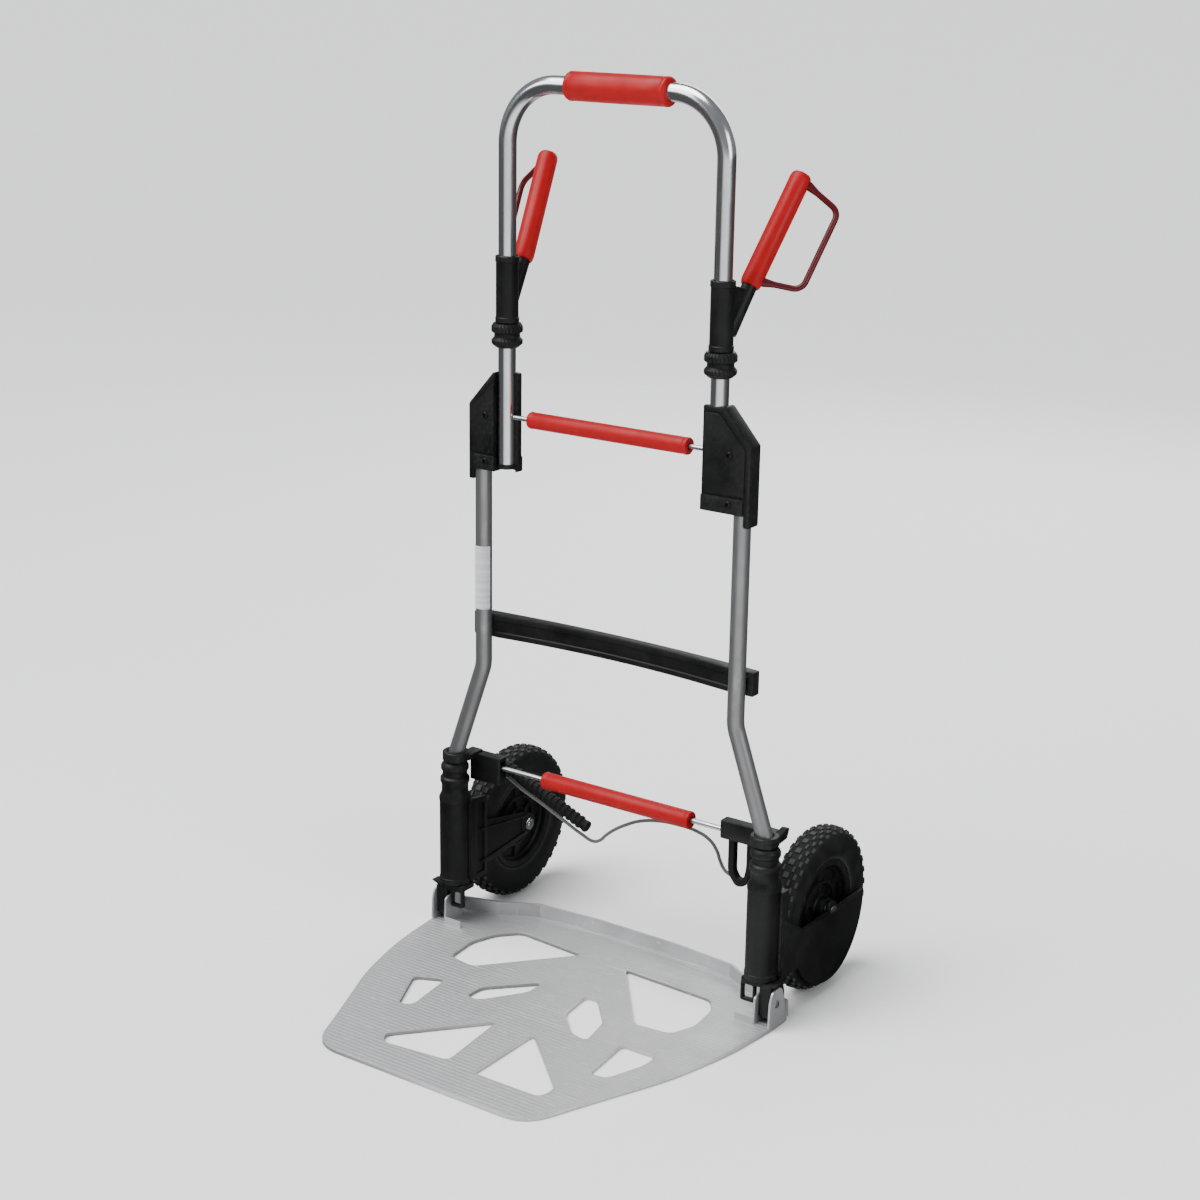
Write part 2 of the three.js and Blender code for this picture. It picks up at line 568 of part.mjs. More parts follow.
// Every piece that the two sides have alike.
function sideParts(suffix, bracketMouth) {
  const group = new THREE.Group();
  const add = (name, geometry, material) => addPart(group, name + "_" + suffix, geometry, material);
  add("frame_tube", frameTube(), GREY_TUBE);
  add("corner_bracket", cornerBracket(...bracketMouth), BLACK_PLASTIC);
  add("bracket_screw_upper", frontScrew(LEG_X + 27, BRACKET.front, 800), DARK_STEEL);
  add("bracket_screw_lower", frontScrew(LEG_X + 27, BRACKET.front, 734), DARK_STEEL);
  add("foot", foot(), BLACK_PLASTIC);
  add("hinge_pin", hingePin(), STEEL);
  add("handle_leg_plug", legPlug(), BLACK_PLASTIC);
  add("clamp_bush", clampBush(), BLACK_PLASTIC);
  add("twist_collar", twistCollar(), BLACK_PLASTIC);
  add("side_handle_sleeve", handleSleeve(), BLACK_PLASTIC);
  add("side_handle_grip", sideGrip(), RED_GRIP);
  add("side_handle_guard", sideGuard(), DARK_RED);
  add("wheel_arm", wheelArm(), BLACK_PLASTIC);
  add("axle", axle(), STEEL);
  add("axle_nut", axleNut(), STEEL);
  add("tyre", tyre(), TYRE_RUBBER);
  add("rim", rim(), BLACK_PLASTIC);
  add("wheel_bush", wheelBush(), STEEL);
  return group;
}

const parts = new THREE.Group();
// One bracket moulding serves both sides, half a turn apart, so its channel opens backwards on the right and
// forwards on the left.
const rightSide = sideParts("right", [-7, 16]);
const leftSide = sideParts("left", [-16, 3]);
leftSide.scale.x = -1;
parts.add(rightSide, leftSide);

addPart(parts, "u_handle", uHandle(), CHROME);
addPart(parts, "top_grip", topGrip(), RED_GRIP);
addPart(parts, "upper_release_rod", releaseRod(UPPER_BAR), STEEL);
addPart(parts, "upper_release_sleeve", releaseSleeve(UPPER_BAR), RED_GRIP);
addPart(parts, "lower_release_rod", releaseRod(LOWER_BAR), STEEL);
addPart(parts, "lower_release_sleeve", releaseSleeve(LOWER_BAR), RED_GRIP);
addPart(parts, "cross_bar", crossBar(), BLACK_PLASTIC);
addPart(parts, "blank_label", blankLabel(), WHITE_FILM);
addPart(parts, "toe_plate", toePlate(), ALUMINIUM);
addPart(parts, "latch_block_right", latchBlock(180, 244), BLACK_PLASTIC);
addPart(parts, "latch_block_left", latchBlock(206, 228), BLACK_PLASTIC).scale.x = -1;
addPart(parts, "tie_handle", tieHandle(), BLACK_PLASTIC);
addPart(parts, "tie_cord", tieCord(), CORD_GREY);
addPart(parts, "tie_loop", tieLoop(), BLACK_PLASTIC);

export default parts;
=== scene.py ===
"""Looks of a folding hand truck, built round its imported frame. Lengths are in metres, +Z is up."""
import json
import logging
import math
from dataclasses import dataclass
from enum import Enum
from typing import Iterable, Sequence

import bmesh
import bpy
from mathutils import Matrix, Vector

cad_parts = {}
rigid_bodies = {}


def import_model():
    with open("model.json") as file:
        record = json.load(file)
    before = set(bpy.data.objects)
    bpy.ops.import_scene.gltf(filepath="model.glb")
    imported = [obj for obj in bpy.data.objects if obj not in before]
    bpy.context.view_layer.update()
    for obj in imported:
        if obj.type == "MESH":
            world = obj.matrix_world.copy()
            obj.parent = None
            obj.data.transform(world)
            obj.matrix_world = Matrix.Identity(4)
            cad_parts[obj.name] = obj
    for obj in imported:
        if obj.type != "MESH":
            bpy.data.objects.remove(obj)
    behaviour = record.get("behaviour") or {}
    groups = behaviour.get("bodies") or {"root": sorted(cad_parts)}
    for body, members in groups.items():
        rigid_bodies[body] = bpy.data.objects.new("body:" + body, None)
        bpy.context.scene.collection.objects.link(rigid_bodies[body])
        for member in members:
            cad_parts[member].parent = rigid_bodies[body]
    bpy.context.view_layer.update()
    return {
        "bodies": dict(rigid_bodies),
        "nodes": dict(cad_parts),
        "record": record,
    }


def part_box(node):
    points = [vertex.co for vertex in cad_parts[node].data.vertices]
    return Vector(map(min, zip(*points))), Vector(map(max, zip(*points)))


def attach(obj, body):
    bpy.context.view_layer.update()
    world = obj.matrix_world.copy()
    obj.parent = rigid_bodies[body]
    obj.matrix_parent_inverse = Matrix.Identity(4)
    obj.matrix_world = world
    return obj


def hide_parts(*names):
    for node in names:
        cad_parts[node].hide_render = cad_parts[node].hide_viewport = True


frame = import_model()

LOG = logging.getLogger("hand_truck")
Point = Sequence[float]
Colour = tuple[float, float, float]
FULL_TURN = 2 * math.pi
MM = 0.001
SLIVER = 0.000004  # Points closer than this are one point.
PAST = 0.01  # How far a cutting tool reaches past the piece that it cuts.


class Side(Enum):
    """Which side of the truck a piece is on, as seen from the load side."""

    LEFT = -1
    RIGHT = 1

    @property
    def word(self) -> str:
        """The side's name as it ends a node's name."""
        return self.name.lower()


class Plane(Enum):
    """The plane that a flat outline is drawn in, with the direction it is extruded."""

    UP = ((1, 0, 0), (0, 1, 0), (0, 0, 1))
    BACK = ((1, 0, 0), (0, 0, 1), (0, 1, 0))
    ACROSS = ((0, 1, 0), (0, 0, 1), (1, 0, 0))

    def matrix(self) -> Matrix:
        """The turn from outline coordinates to the truck's frame."""
        return Matrix(self.value).transposed().to_4x4()


@dataclass(frozen=True)
class Extent:
    """The box of a CAD node at rest."""

    low: Vector
    high: Vector

    @classmethod
    def of(cls, node: str) -> "Extent":
        """The box of the named node."""
        return cls(*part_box(node))

    @property
    def centre(self) -> Vector:
        """The middle of the box."""
        return (self.low + self.high) / 2

    @property
    def size(self) -> Vector:
        """The lengths of the box's sides."""
        return self.high - self.low


def post_x() -> float:
    """The X of the right post."""
    return Extent.of("tyre_right").centre.x


# ---- Shapes ---------------------------------------------------------------------------------------


def in_mm(points: Sequence[Point]) -> list[tuple[float, float]]:
    """Flat points that are given in millimetres."""
    return [(a * MM, b * MM) for a, b in points]


def oblong(left: float, low: float, right: float, high: float) -> list[tuple[float, float]]:
    """The corners of a rectangle."""
    return [(left, low), (right, low), (right, high), (left, high)]


def soft_outline(points: Sequence[Point], reach: float, steps: int = 5) -> list[Vector]:
    """Rounds the corners of a flat outline.

    Args:
        points: The outline's corners.
        reach: How far from a corner its rounding starts.
        steps: Runs in each rounded corner.

    Returns:
        The points of the rounded outline.
    """
    corners = [Vector((p[0], p[1])) for p in points]
    rounded: list[Vector] = []
    for i, corner in enumerate(corners):
        last, after = corners[i - 1], corners[(i + 1) % len(corners)]
        size = min(reach, (corner - last).length / 2.2, (corner - after).length / 2.2)
        start = corner + (last - corner).normalized() * size
        end = corner + (after - corner).normalized() * size
        for k in range(steps + 1):
            t = k / steps
            rounded.append(start * (1 - t) ** 2 + corner * 2 * t * (1 - t) + end * t * t)
    return rounded


def arc(centre: Point, radius: float, start: float, end: float, steps: int) -> list[tuple[float, float]]:
    """Points of an arc, with its angles in degrees."""
    turns = [math.radians(start + (end - start) * k / steps) for k in range(steps + 1)]
    return [(centre[0] + radius * math.cos(a), centre[1] + radius * math.sin(a)) for a in turns]


class Solid:
    """A closed mesh in the making, shaped by bmesh operators."""

    def __init__(self) -> None:
        """Starts an empty mesh."""
        self.bm = bmesh.new()

    @classmethod
    def turned(cls, profile: Sequence[Point], sides: int = 48, hollow: bool = False) -> "Solid":
        """A solid of revolution about Z.

        Args:
            profile: (radius, height) pairs in order.
            sides: Steps in the full turn.
            hollow: True for a ring, whose profile closes on itself.

        Returns:
            The turned solid.
        """
        solid = cls()
        verts = [solid.bm.verts.new((radius, 0, height)) for radius, height in profile]
        edges = [solid.bm.edges.new(pair) for pair in zip(verts, verts[1:])]
        if hollow:
            edges.append(solid.bm.edges.new((verts[-1], verts[0])))
        bmesh.ops.spin(solid.bm, geom=verts + edges, cent=(0, 0, 0), axis=(0, 0, 1), angle=FULL_TURN,
                       steps=sides, use_merge=True)
        bmesh.ops.remove_doubles(solid.bm, verts=solid.bm.verts[:], dist=1e-6)
        return solid.outward()

    @classmethod
    def drum(cls, radius: float, low: float, high: float, sides: int = 40) -> "Solid":
        """A plain cylinder about Z, from low to high."""
        return cls.turned([(0, low), (radius, low), (radius, high), (0, high)], sides)

    @classmethod
    def slab(cls, outline: Sequence[Point], low: float, high: float, plane: Plane,
             ease: float = 0.0, holes: Sequence[Sequence[Point]] = (), segments: int = 2) -> "Solid":
        """A flat outline, with any holes in it, extruded from low to high.

        Args:
            outline: The corners of the outline.
            low: Where the slab starts along the plane's direction.
            high: Where it ends.
            plane: The plane of the outline.
            ease: Width of the rounding of its edges, 0 for none.
            holes: Outlines cut out of the slab.
            segments: Steps of the rounding.

        Returns:
            The slab.
        """
        solid = cls()
        bm = solid.bm
        loops: list[bmesh.types.BMEdge] = []
        for ring in (outline, *holes):
            verts = [bm.verts.new((p[0], p[1], low)) for p in ring]
            loops += [bm.edges.new((a, b)) for a, b in zip(verts, verts[1:] + verts[:1])]
        if holes:
            bmesh.ops.triangle_fill(bm, edges=loops, use_beauty=True, normal=(0, 0, 1))
        else:
            bmesh.ops.contextual_create(bm, geom=loops)
        grown = bmesh.ops.extrude_face_region(bm, geom=bm.faces[:])["geom"]
        risen = [g for g in grown if isinstance(g, bmesh.types.BMVert)]
        bmesh.ops.translate(bm, verts=risen, vec=(0, 0, high - low))
        solid.outward()
        if ease:
            solid.ease(ease, segments)
        bmesh.ops.transform(bm, matrix=plane.matrix(), verts=bm.verts[:])
        return solid.outward()

    @classmethod
    def bar(cls, corners: Sequence[Point], radius: float, bend: float = 0.0, sides: int = 32,
            steps: int = 12) -> "Solid":
        """A round bar through the corners, bent to an arc at each one.

        Args:
            corners: The corners of the bar's centreline.
            radius: The bar's radius.
            bend: The radius of its bends.
            sides: Sides of the round section.
            steps: Steps in each bend.

        Returns:
            The bar, with flat ends.
        """
        solid = cls()
        bm = solid.bm
        points = [Vector(c) for c in corners]
        turn = (points[1] - points[0]).to_track_quat("Z", "Y").to_matrix().to_4x4()
        bmesh.ops.create_circle(bm, cap_ends=True, radius=radius, segments=sides,
                                matrix=Matrix.Translation(points[0]) @ turn)
        edges, place = bm.edges[:], points[0]
        for before, corner, after in zip(points, points[1:], points[2:]):
            along, onward = (corner - before).normalized(), (after - corner).normalized()
            angle = along.angle(onward)
            start = corner - along * bend * math.tan(angle / 2)
            edges = solid.run(edges, start - place)
            inward = (onward - along * along.dot(onward)).normalized()
            spun = bmesh.ops.spin(bm, geom=edges, cent=start + inward * bend, axis=along.cross(inward),
                                  angle=angle, steps=steps)
            edges = [g for g in spun["geom_last"] if isinstance(g, bmesh.types.BMEdge)]
            place = corner + onward * bend * math.tan(angle / 2)
        edges = solid.run(edges, points[-1] - place)
        bmesh.ops.contextual_create(bm, geom=edges)
        bmesh.ops.remove_doubles(bm, verts=bm.verts[:], dist=1e-7)
        return solid.outward()

    def run(self, edges: list[bmesh.types.BMEdge], step: Vector) -> list[bmesh.types.BMEdge]:
        """Extrudes a ring of edges.

        Args:
            edges: The ring.
            step: Where it goes from its place.

        Returns:
            The new ring.
        """
        grown = bmesh.ops.extrude_edge_only(self.bm, edges=edges)["geom"]
        bmesh.ops.translate(self.bm, verts=[g for g in grown if isinstance(g, bmesh.types.BMVert)], vec=step)
        return [g for g in grown if isinstance(g, bmesh.types.BMEdge)]

    def outward(self) -> "Solid":
        """Turns every face outwards."""
        bmesh.ops.recalc_face_normals(self.bm, faces=self.bm.faces[:])
        return self

    def ease(self, width: float, segments: int = 2, angle: float = 30.0) -> "Solid":
        """Rounds the sharp edges.

        Args:
            width: Width of the rounding.
            segments: Steps of the rounding.
            angle: Edges whose faces meet at more degrees than this are rounded.

        Returns:
            The solid, changed.
        """
        least = math.radians(angle)
        sharp = [e for e in self.bm.edges if len(e.link_faces) == 2 and e.calc_face_angle(0.0) > least]
        bmesh.ops.bevel(self.bm, geom=sharp, offset=width, segments=segments, profile=0.5,
                        affect="EDGES", clamp_overlap=True, material=-1)
        return self

    def recess(self, direction: Point, border: float, depth: float, least_area: float) -> "Solid":
        """Sinks, or with a negative depth raises, a panel in the broad faces that look one way.

        Args:
            direction: Where the faces look.
            border: The width left round the panel.
            depth: How far it sinks.
            least_area: Smaller faces keep their surface.

        Returns:
            The solid.
        """
        way = Vector(direction)
        broad = [f for f in self.bm.faces if f.normal.dot(way) > 0.9 and f.calc_area() > least_area]
        bmesh.ops.inset_region(self.bm, faces=broad, thickness=border, use_even_offset=True)
        bmesh.ops.inset_region(self.bm, faces=broad, thickness=abs(depth) * 0.8, depth=-depth,
                               use_even_offset=True)
        return self

    def moved(self, matrix: Matrix) -> "Solid":
        """Places the solid by a matrix."""
        bmesh.ops.transform(self.bm, matrix=matrix, verts=self.bm.verts[:])
        return self

    def along_x(self, place: Point = (0, 0, 0)) -> "Solid":
        """Lays a solid that was turned about Z along +X, at a place."""
        return self.moved(Matrix.Translation(place) @ Matrix.Rotation(math.radians(90), 4, "Y"))

    def at(self, place: Point) -> "Solid":
        """Shifts the solid."""
        return self.moved(Matrix.Translation(place))

    def aimed(self, place: Vector, way: Vector) -> "Solid":
        """Turns a solid that stands on Z to look another way, and shifts it to a place."""
        return self.moved(Matrix.Translation(place) @ way.to_track_quat("Z", "Y").to_matrix().to_4x4())

    def mirrored(self) -> "Solid":
        """Reflects the solid from the right side to the left.

        Returns:
            The solid, changed.
        """
        bmesh.ops.scale(self.bm, vec=(-1, 1, 1), verts=self.bm.verts[:])
        bmesh.ops.reverse_faces(self.bm, faces=self.bm.faces[:])
        return self

    def temporary(self) -> bpy.types.Object:
        """Puts the mesh on a scene object for a moment.

        Returns:
            The object, which the caller removes.
        """
        mesh = bpy.data.meshes.new("making")
        self.bm.to_mesh(mesh)
        self.bm.free()
        made = bpy.data.objects.new("making", mesh)
        bpy.context.scene.collection.objects.link(made)
        return made

    def combined(self, tools: Iterable["Solid"], operation: str) -> "Solid":
        """Joins or cuts with each tool in turn.

        Args:
            tools: The other solids, which are used up.
            operation: UNION, DIFFERENCE or INTERSECT.

        Returns:
            This solid, changed.
        """
        for tool in tools:
            body, other = self.temporary(), tool.temporary()
            modifier = body.modifiers.new("combine", "BOOLEAN")
            modifier.operation, modifier.solver, modifier.object = operation, "EXACT", other
            mesh = bpy.data.meshes.new_from_object(body.evaluated_get(bpy.context.evaluated_depsgraph_get()))
            self.bm = bmesh.new()
            self.bm.from_mesh(mesh)
            self.weld()
            for item in (body, other):
                spent = item.data
                bpy.data.objects.remove(item)
                bpy.data.meshes.remove(spent)
            bpy.data.meshes.remove(mesh)
        return self

    def weld(self) -> None:
        """Merges the slivers that a boolean leaves, and closes any gap beside them."""
        bmesh.ops.remove_doubles(self.bm, verts=self.bm.verts[:], dist=SLIVER)
        bmesh.ops.dissolve_degenerate(self.bm, edges=self.bm.edges[:], dist=SLIVER)
        loose = [f for f in self.bm.faces if all(e.is_boundary for e in f.edges)]
        bmesh.ops.delete(self.bm, geom=loose, context="FACES")
        gaps = [e for e in self.bm.edges if e.is_boundary]
        if gaps:
            bmesh.ops.holes_fill(self.bm, edges=gaps, sides=0)
            self.outward()

    def join(self, *tools: "Solid") -> "Solid":
        """Fuses the other solids with this one."""
        return self.combined(tools, "UNION")

    def cut(self, *tools: "Solid") -> "Solid":
        """Cuts the other solids out of this one."""
        return self.combined(tools, "DIFFERENCE")


# ---- Materials ------------------------------------------------------------------------------------


class Shader:
    """A material under a Principled shader, with its pattern nodes on Object coordinates."""

    def __init__(self, name: str, base: Colour, roughness: float, metallic: float) -> None:
        """Starts the material with its even values.

        Args:
            name: The material's name.
            base: Its base colour.
            roughness: Its roughness.
            metallic: 1 for bare metal.
        """
        self.material = bpy.data.materials.new(name)
        self.material.use_nodes = True
        self.tree = self.material.node_tree
        self.surface = self.tree.nodes["Principled BSDF"]
        self.surface.inputs["Base Color"].default_value = (*base, 1)
        self.surface.inputs["Roughness"].default_value = roughness
        self.surface.inputs["Metallic"].default_value = metallic
        self.coords = self.tree.nodes.new("ShaderNodeTexCoord").outputs["Object"]

    def node(self, kind: str, **inputs: object) -> bpy.types.Node:
        """Adds a node.

        Args:
            kind: Its type.
            inputs: Its inputs by name; a socket is linked, and any other value is set.

        Returns:
            The node.
        """
        made = self.tree.nodes.new(kind)
        for key, value in inputs.items():
            socket = made.inputs[key.replace("_", " ")]
            if isinstance(value, bpy.types.NodeSocket):
                self.tree.links.new(value, socket)
            else:
                socket.default_value = value
        return made

    def stretched(self, scale: Point) -> bpy.types.NodeSocket:
        """Object coordinates scaled on each axis."""
        return self.node("ShaderNodeMapping", Vector=self.coords, Scale=tuple(scale)).outputs["Vector"]

    def noise(self, scale: float, detail: float = 3.0, stretch: Point = (1, 1, 1)) -> bpy.types.NodeSocket:
        """A noise pattern from 0 to 1."""
        return self.node("ShaderNodeTexNoise", Vector=self.stretched(stretch), Scale=scale, Detail=detail,
                         Roughness=0.55).outputs["Fac"]

    def cells(self, scale: float, stretch: Point = (1, 1, 1)) -> bpy.types.NodeSocket:
        """Distance to the nearest of scattered points, for grain and pits."""
        return self.node("ShaderNodeTexVoronoi", Vector=self.stretched(stretch),
                         Scale=scale).outputs["Distance"]

    def ranged(self, value: bpy.types.NodeSocket, low: float, high: float, least: float = 0.0,
               most: float = 1.0) -> bpy.types.NodeSocket:
        """Maps one range of a value to another, clamped.

        Args:
            value: The value.
            low: Start of its range.
            high: End of its range.
            least: What the start becomes.
            most: What the end becomes.

        Returns:
            The mapped value.
        """
        made = self.node("ShaderNodeMapRange", Value=value)
        for key, number in (("From Min", low), ("From Max", high), ("To Min", least), ("To Max", most)):
            made.inputs[key].default_value = number
        return made.outputs["Result"]

    def times(self, a: bpy.types.NodeSocket, b: object) -> bpy.types.NodeSocket:
        """The product of a value and another value or number."""
        return self.math("MULTIPLY", a, b)

    def math(self, operation: str, a: bpy.types.NodeSocket, b: object) -> bpy.types.NodeSocket:
        """A sum or product.

        Args:
            operation: ADD or MULTIPLY.
            a: The first value.
            b: The second value, or a number.

        Returns:
            The result.
        """
        made = self.tree.nodes.new("ShaderNodeMath")
        made.operation = operation
        self.tree.links.new(a, made.inputs[0])
        if isinstance(b, bpy.types.NodeSocket):
            self.tree.links.new(b, made.inputs[1])
        else:
            made.inputs[1].default_value = b
        return made.outputs["Value"]

    def blend(self, factor: bpy.types.NodeSocket, a: object, b: object) -> bpy.types.NodeSocket:
        """Mixes two colours.

        Args:
            factor: The share of the second.
            a: The first colour, or its socket.
            b: The second colour, or its socket.

        Returns:
            The mix.
        """
        made = self.tree.nodes.new("ShaderNodeMix")
        made.data_type = "RGBA"
        self.tree.links.new(factor, made.inputs["Factor"])
        for socket, colour in ((made.inputs[6], a), (made.inputs[7], b)):
            if isinstance(colour, bpy.types.NodeSocket):
                self.tree.links.new(colour, socket)
            else:
                socket.default_value = (*colour, 1)
        return made.outputs[2]

    def edges(self, low: float = 0.52, high: float = 0.6) -> bpy.types.NodeSocket:
        """How far a spot stands out, or with low above high lies deep, from 0 to 1."""
        point = self.tree.nodes.new("ShaderNodeNewGeometry").outputs["Pointiness"]
        return self.ranged(point, low, high)

    def bump(self, height: bpy.types.NodeSocket, distance: float, strength: float = 1.0,
             under: bpy.types.NodeSocket | None = None) -> bpy.types.NodeSocket:
        """Makes a bump of a height pattern.

        Args:
            height: The pattern.
            distance: Its height in metres.
            strength: How strongly it shows.
            under: A bump that it lies on.

        Returns:
            The bumped normal.
        """
        made = self.node("ShaderNodeBump", Height=height, Distance=distance, Strength=strength)
        if under is not None:
            self.tree.links.new(under, made.inputs["Normal"])
        return made.outputs["Normal"]

    def use(self, key: str, socket: bpy.types.NodeSocket) -> None:
        """Links a pattern to one of the surface's sockets."""
        self.tree.links.new(socket, self.surface.inputs[key])


@dataclass(frozen=True)
class Finish:
    """A finish: the record's slot and the values of its surface."""

    slot: str
    base: Colour
    roughness: float
    metallic: float = 0.0
    gloss: float = 0.5

    def shader(self) -> Shader:
        """Starts the material with its even values.

        Returns:
            The shader.
        """
        shader = Shader(self.slot, self.base, self.roughness, self.metallic)
        shader.surface.inputs["Specular IOR Level"].default_value = self.gloss
        return shader

    def material(self) -> bpy.types.Material:
        """The finished material."""
        raise NotImplementedError


def lighter(colour: Colour, share: float) -> Colour:
    """A colour moved towards white by a share."""
    return tuple(c + (1 - c) * share for c in colour)


def darker(colour: Colour, share: float) -> Colour:
    """A colour moved towards black by a share."""
    return tuple(c * (1 - share) for c in colour)


@dataclass(frozen=True)
class DrawnTube(Finish):
    """Drawn metal tube, with fine lines along it, smudges and rubbed patches."""

    line: float = 0.02
    smudge: float = 0.1

    def material(self) -> bpy.types.Material:
        """Makes the lines, smudges and rubbed patches.

        Returns:
            The finished material.
        """
        shader = self.shader()
        lines = shader.noise(1.0, 2.0, (1500, 1500, 14))
        cloud = shader.noise(16.0, 4.0)
        rubbed = shader.ranged(shader.noise(55.0, 6.0, (1, 1, 0.35)), 0.6, 0.72)
        tint = shader.blend(shader.ranged(cloud, 0.35, 0.7), self.base, darker(self.base, 0.16))
        shader.use("Base Color", shader.blend(shader.times(rubbed, 0.35), tint, lighter(self.base, 0.25)))
        rough = shader.ranged(cloud, 0.3, 0.75, self.roughness - self.smudge / 2,
                              self.roughness + self.smudge)
        shader.use("Roughness", shader.math("ADD", rough, shader.times(lines, 0.05)))
        shader.use("Normal", shader.bump(lines, self.line * MM, 0.35))
        return shader.material


@dataclass(frozen=True)
class MouldedPlastic(Finish):
    """Moulded plastic with a fine grain, faint flow marks, worn edges and a little dust on top."""

    grain: float = 0.09
    dust: Colour = (0.07, 0.068, 0.065)

    def material(self) -> bpy.types.Material:
        """Makes the grain, flow marks, scuffs, wear and dust.

        Returns:
            The finished material.
        """
        shader = self.shader()
        grain = shader.cells(1500.0)
        flow = shader.noise(22.0, 5.0)
        scuff = shader.ranged(shader.noise(260.0, 6.0, (1, 1, 0.2)), 0.6, 0.76)
        worn = shader.times(shader.edges(), shader.ranged(shader.noise(190.0, 5.0), 0.42, 0.62))
        tint = shader.blend(shader.ranged(flow, 0.35, 0.7), self.base, lighter(self.base, 0.006))
        tint = shader.blend(shader.times(scuff, 0.22), tint, lighter(self.base, 0.03))
        tint = shader.blend(shader.times(worn, 0.25), tint, lighter(self.base, 0.05))
        shader.use("Base Color", shader.blend(self.settled(shader), tint, self.dust))
        shader.use("Roughness", shader.ranged(flow, 0.3, 0.7, self.roughness - 0.06, self.roughness + 0.08))
        under = shader.bump(flow, 0.12 * MM, 0.5)
        shader.use("Normal", shader.bump(grain, self.grain * MM, 0.5, under))
        return shader.material

    def settled(self, shader: Shader) -> bpy.types.NodeSocket:
        """Finds where dust lies: a little on faces that look up.

        Args:
            shader: The shader that it is made in.

        Returns:
            The dust, from 0 to 1.
        """
        normal = shader.tree.nodes.new("ShaderNodeNewGeometry").outputs["Normal"]
        split = shader.node("ShaderNodeSeparateXYZ", Vector=normal)
        patch = shader.ranged(shader.noise(45.0, 5.0), 0.4, 0.7)
        return shader.times(shader.times(shader.ranged(split.outputs["Z"], 0.55, 1.0), patch), 0.12)


@dataclass(frozen=True)
class GripSkin(Finish):
    """Soft vinyl grip skin: fine pores with painted shade in them, faint mottling and handling shine."""

    pore: float = 0.12

    def material(self) -> bpy.types.Material:
        """Makes the pores with their painted shade, the mottling and the shine.

        Returns:
            The finished material.
        """
        shader = self.shader()
        pores = shader.cells(950.0)
        mottle = shader.noise(70.0, 5.0)
        handled = shader.ranged(shader.noise(14.0, 3.0), 0.42, 0.62)
        tint = shader.blend(shader.ranged(mottle, 0.35, 0.7), self.base, darker(self.base, 0.14))
        tint = shader.blend(shader.times(handled, 0.2), tint, lighter(self.base, 0.02))
        # Painted shade in the pores: darker where the pore bump sinks lowest.
        pits = shader.ranged(pores, 0.0, 0.22, 0.3, 0.0)
        shader.use("Base Color", shader.blend(pits, tint, darker(self.base, 0.5)))
        shader.use("Roughness", shader.ranged(handled, 0.0, 1.0, self.roughness + 0.06,
                                              self.roughness - 0.08))
        under = shader.bump(mottle, 0.15 * MM, 0.5)
        shader.use("Normal", shader.bump(pores, self.pore * MM, 0.55, under))
        return shader.material


@dataclass(frozen=True)
class RolledAluminium(Finish):
    """Rolled aluminium sheet: fine lines across it, cloudy oxide, scratches and small dark pits."""

    def material(self) -> bpy.types.Material:
        """Makes the lines, oxide, scratches and pits.

        Returns:
            The finished material.
        """
        shader = self.shader()
        lines = shader.noise(1.0, 3.0, (24, 1700, 1700))
        cloud = shader.noise(13.0, 6.0)
        scratch = shader.ranged(shader.noise(2.2, 8.0, (26, 190, 60)), 0.635, 0.67)
        pits = shader.ranged(shader.cells(330.0), 0.0, 0.09, 0.55, 0.0)
        tint = shader.blend(shader.ranged(cloud, 0.35, 0.68), self.base, darker(self.base, 0.2))
        tint = shader.blend(shader.times(lines, 0.25), tint, darker(self.base, 0.35))
        tint = shader.blend(shader.times(scratch, 0.6), tint, lighter(self.base, 0.45))
        shader.use("Base Color", shader.blend(pits, tint, darker(self.base, 0.6)))
        shader.use("Roughness", shader.ranged(cloud, 0.3, 0.7, self.roughness - 0.07, self.roughness + 0.1))
        under = shader.bump(lines, 0.05 * MM, 0.5)
        shader.use("Normal", shader.bump(scratch, 0.06 * MM, 0.5, under))
        return shader.material


@dataclass(frozen=True)
class TyreRubber(Finish):
    """Dusty rubber with a coarse moulded grain."""

    dust: Colour = (0.04, 0.039, 0.037)

    def material(self) -> bpy.types.Material:
        """Makes the grain, dust and worn edges.

        Returns:
            The finished material.
        """
        shader = self.shader()
        grain = shader.cells(620.0)
        patch = shader.noise(38.0, 6.0)
        hollow = shader.edges(0.5, 0.42)
        dusty = shader.math("ADD", shader.times(hollow, 0.3),
                            shader.times(shader.ranged(patch, 0.45, 0.75), 0.22))
        tint = shader.blend(dusty, self.base, self.dust)
        worn = shader.times(shader.edges(), 0.3)
        shader.use("Base Color", shader.blend(worn, tint, lighter(self.base, 0.12)))
        shader.use("Roughness", shader.ranged(patch, 0.3, 0.7, self.roughness - 0.1, self.roughness + 0.1))
        under = shader.bump(patch, 0.3 * MM, 0.4)
        shader.use("Normal", shader.bump(grain, 0.16 * MM, 0.5, under))
        return shader.material


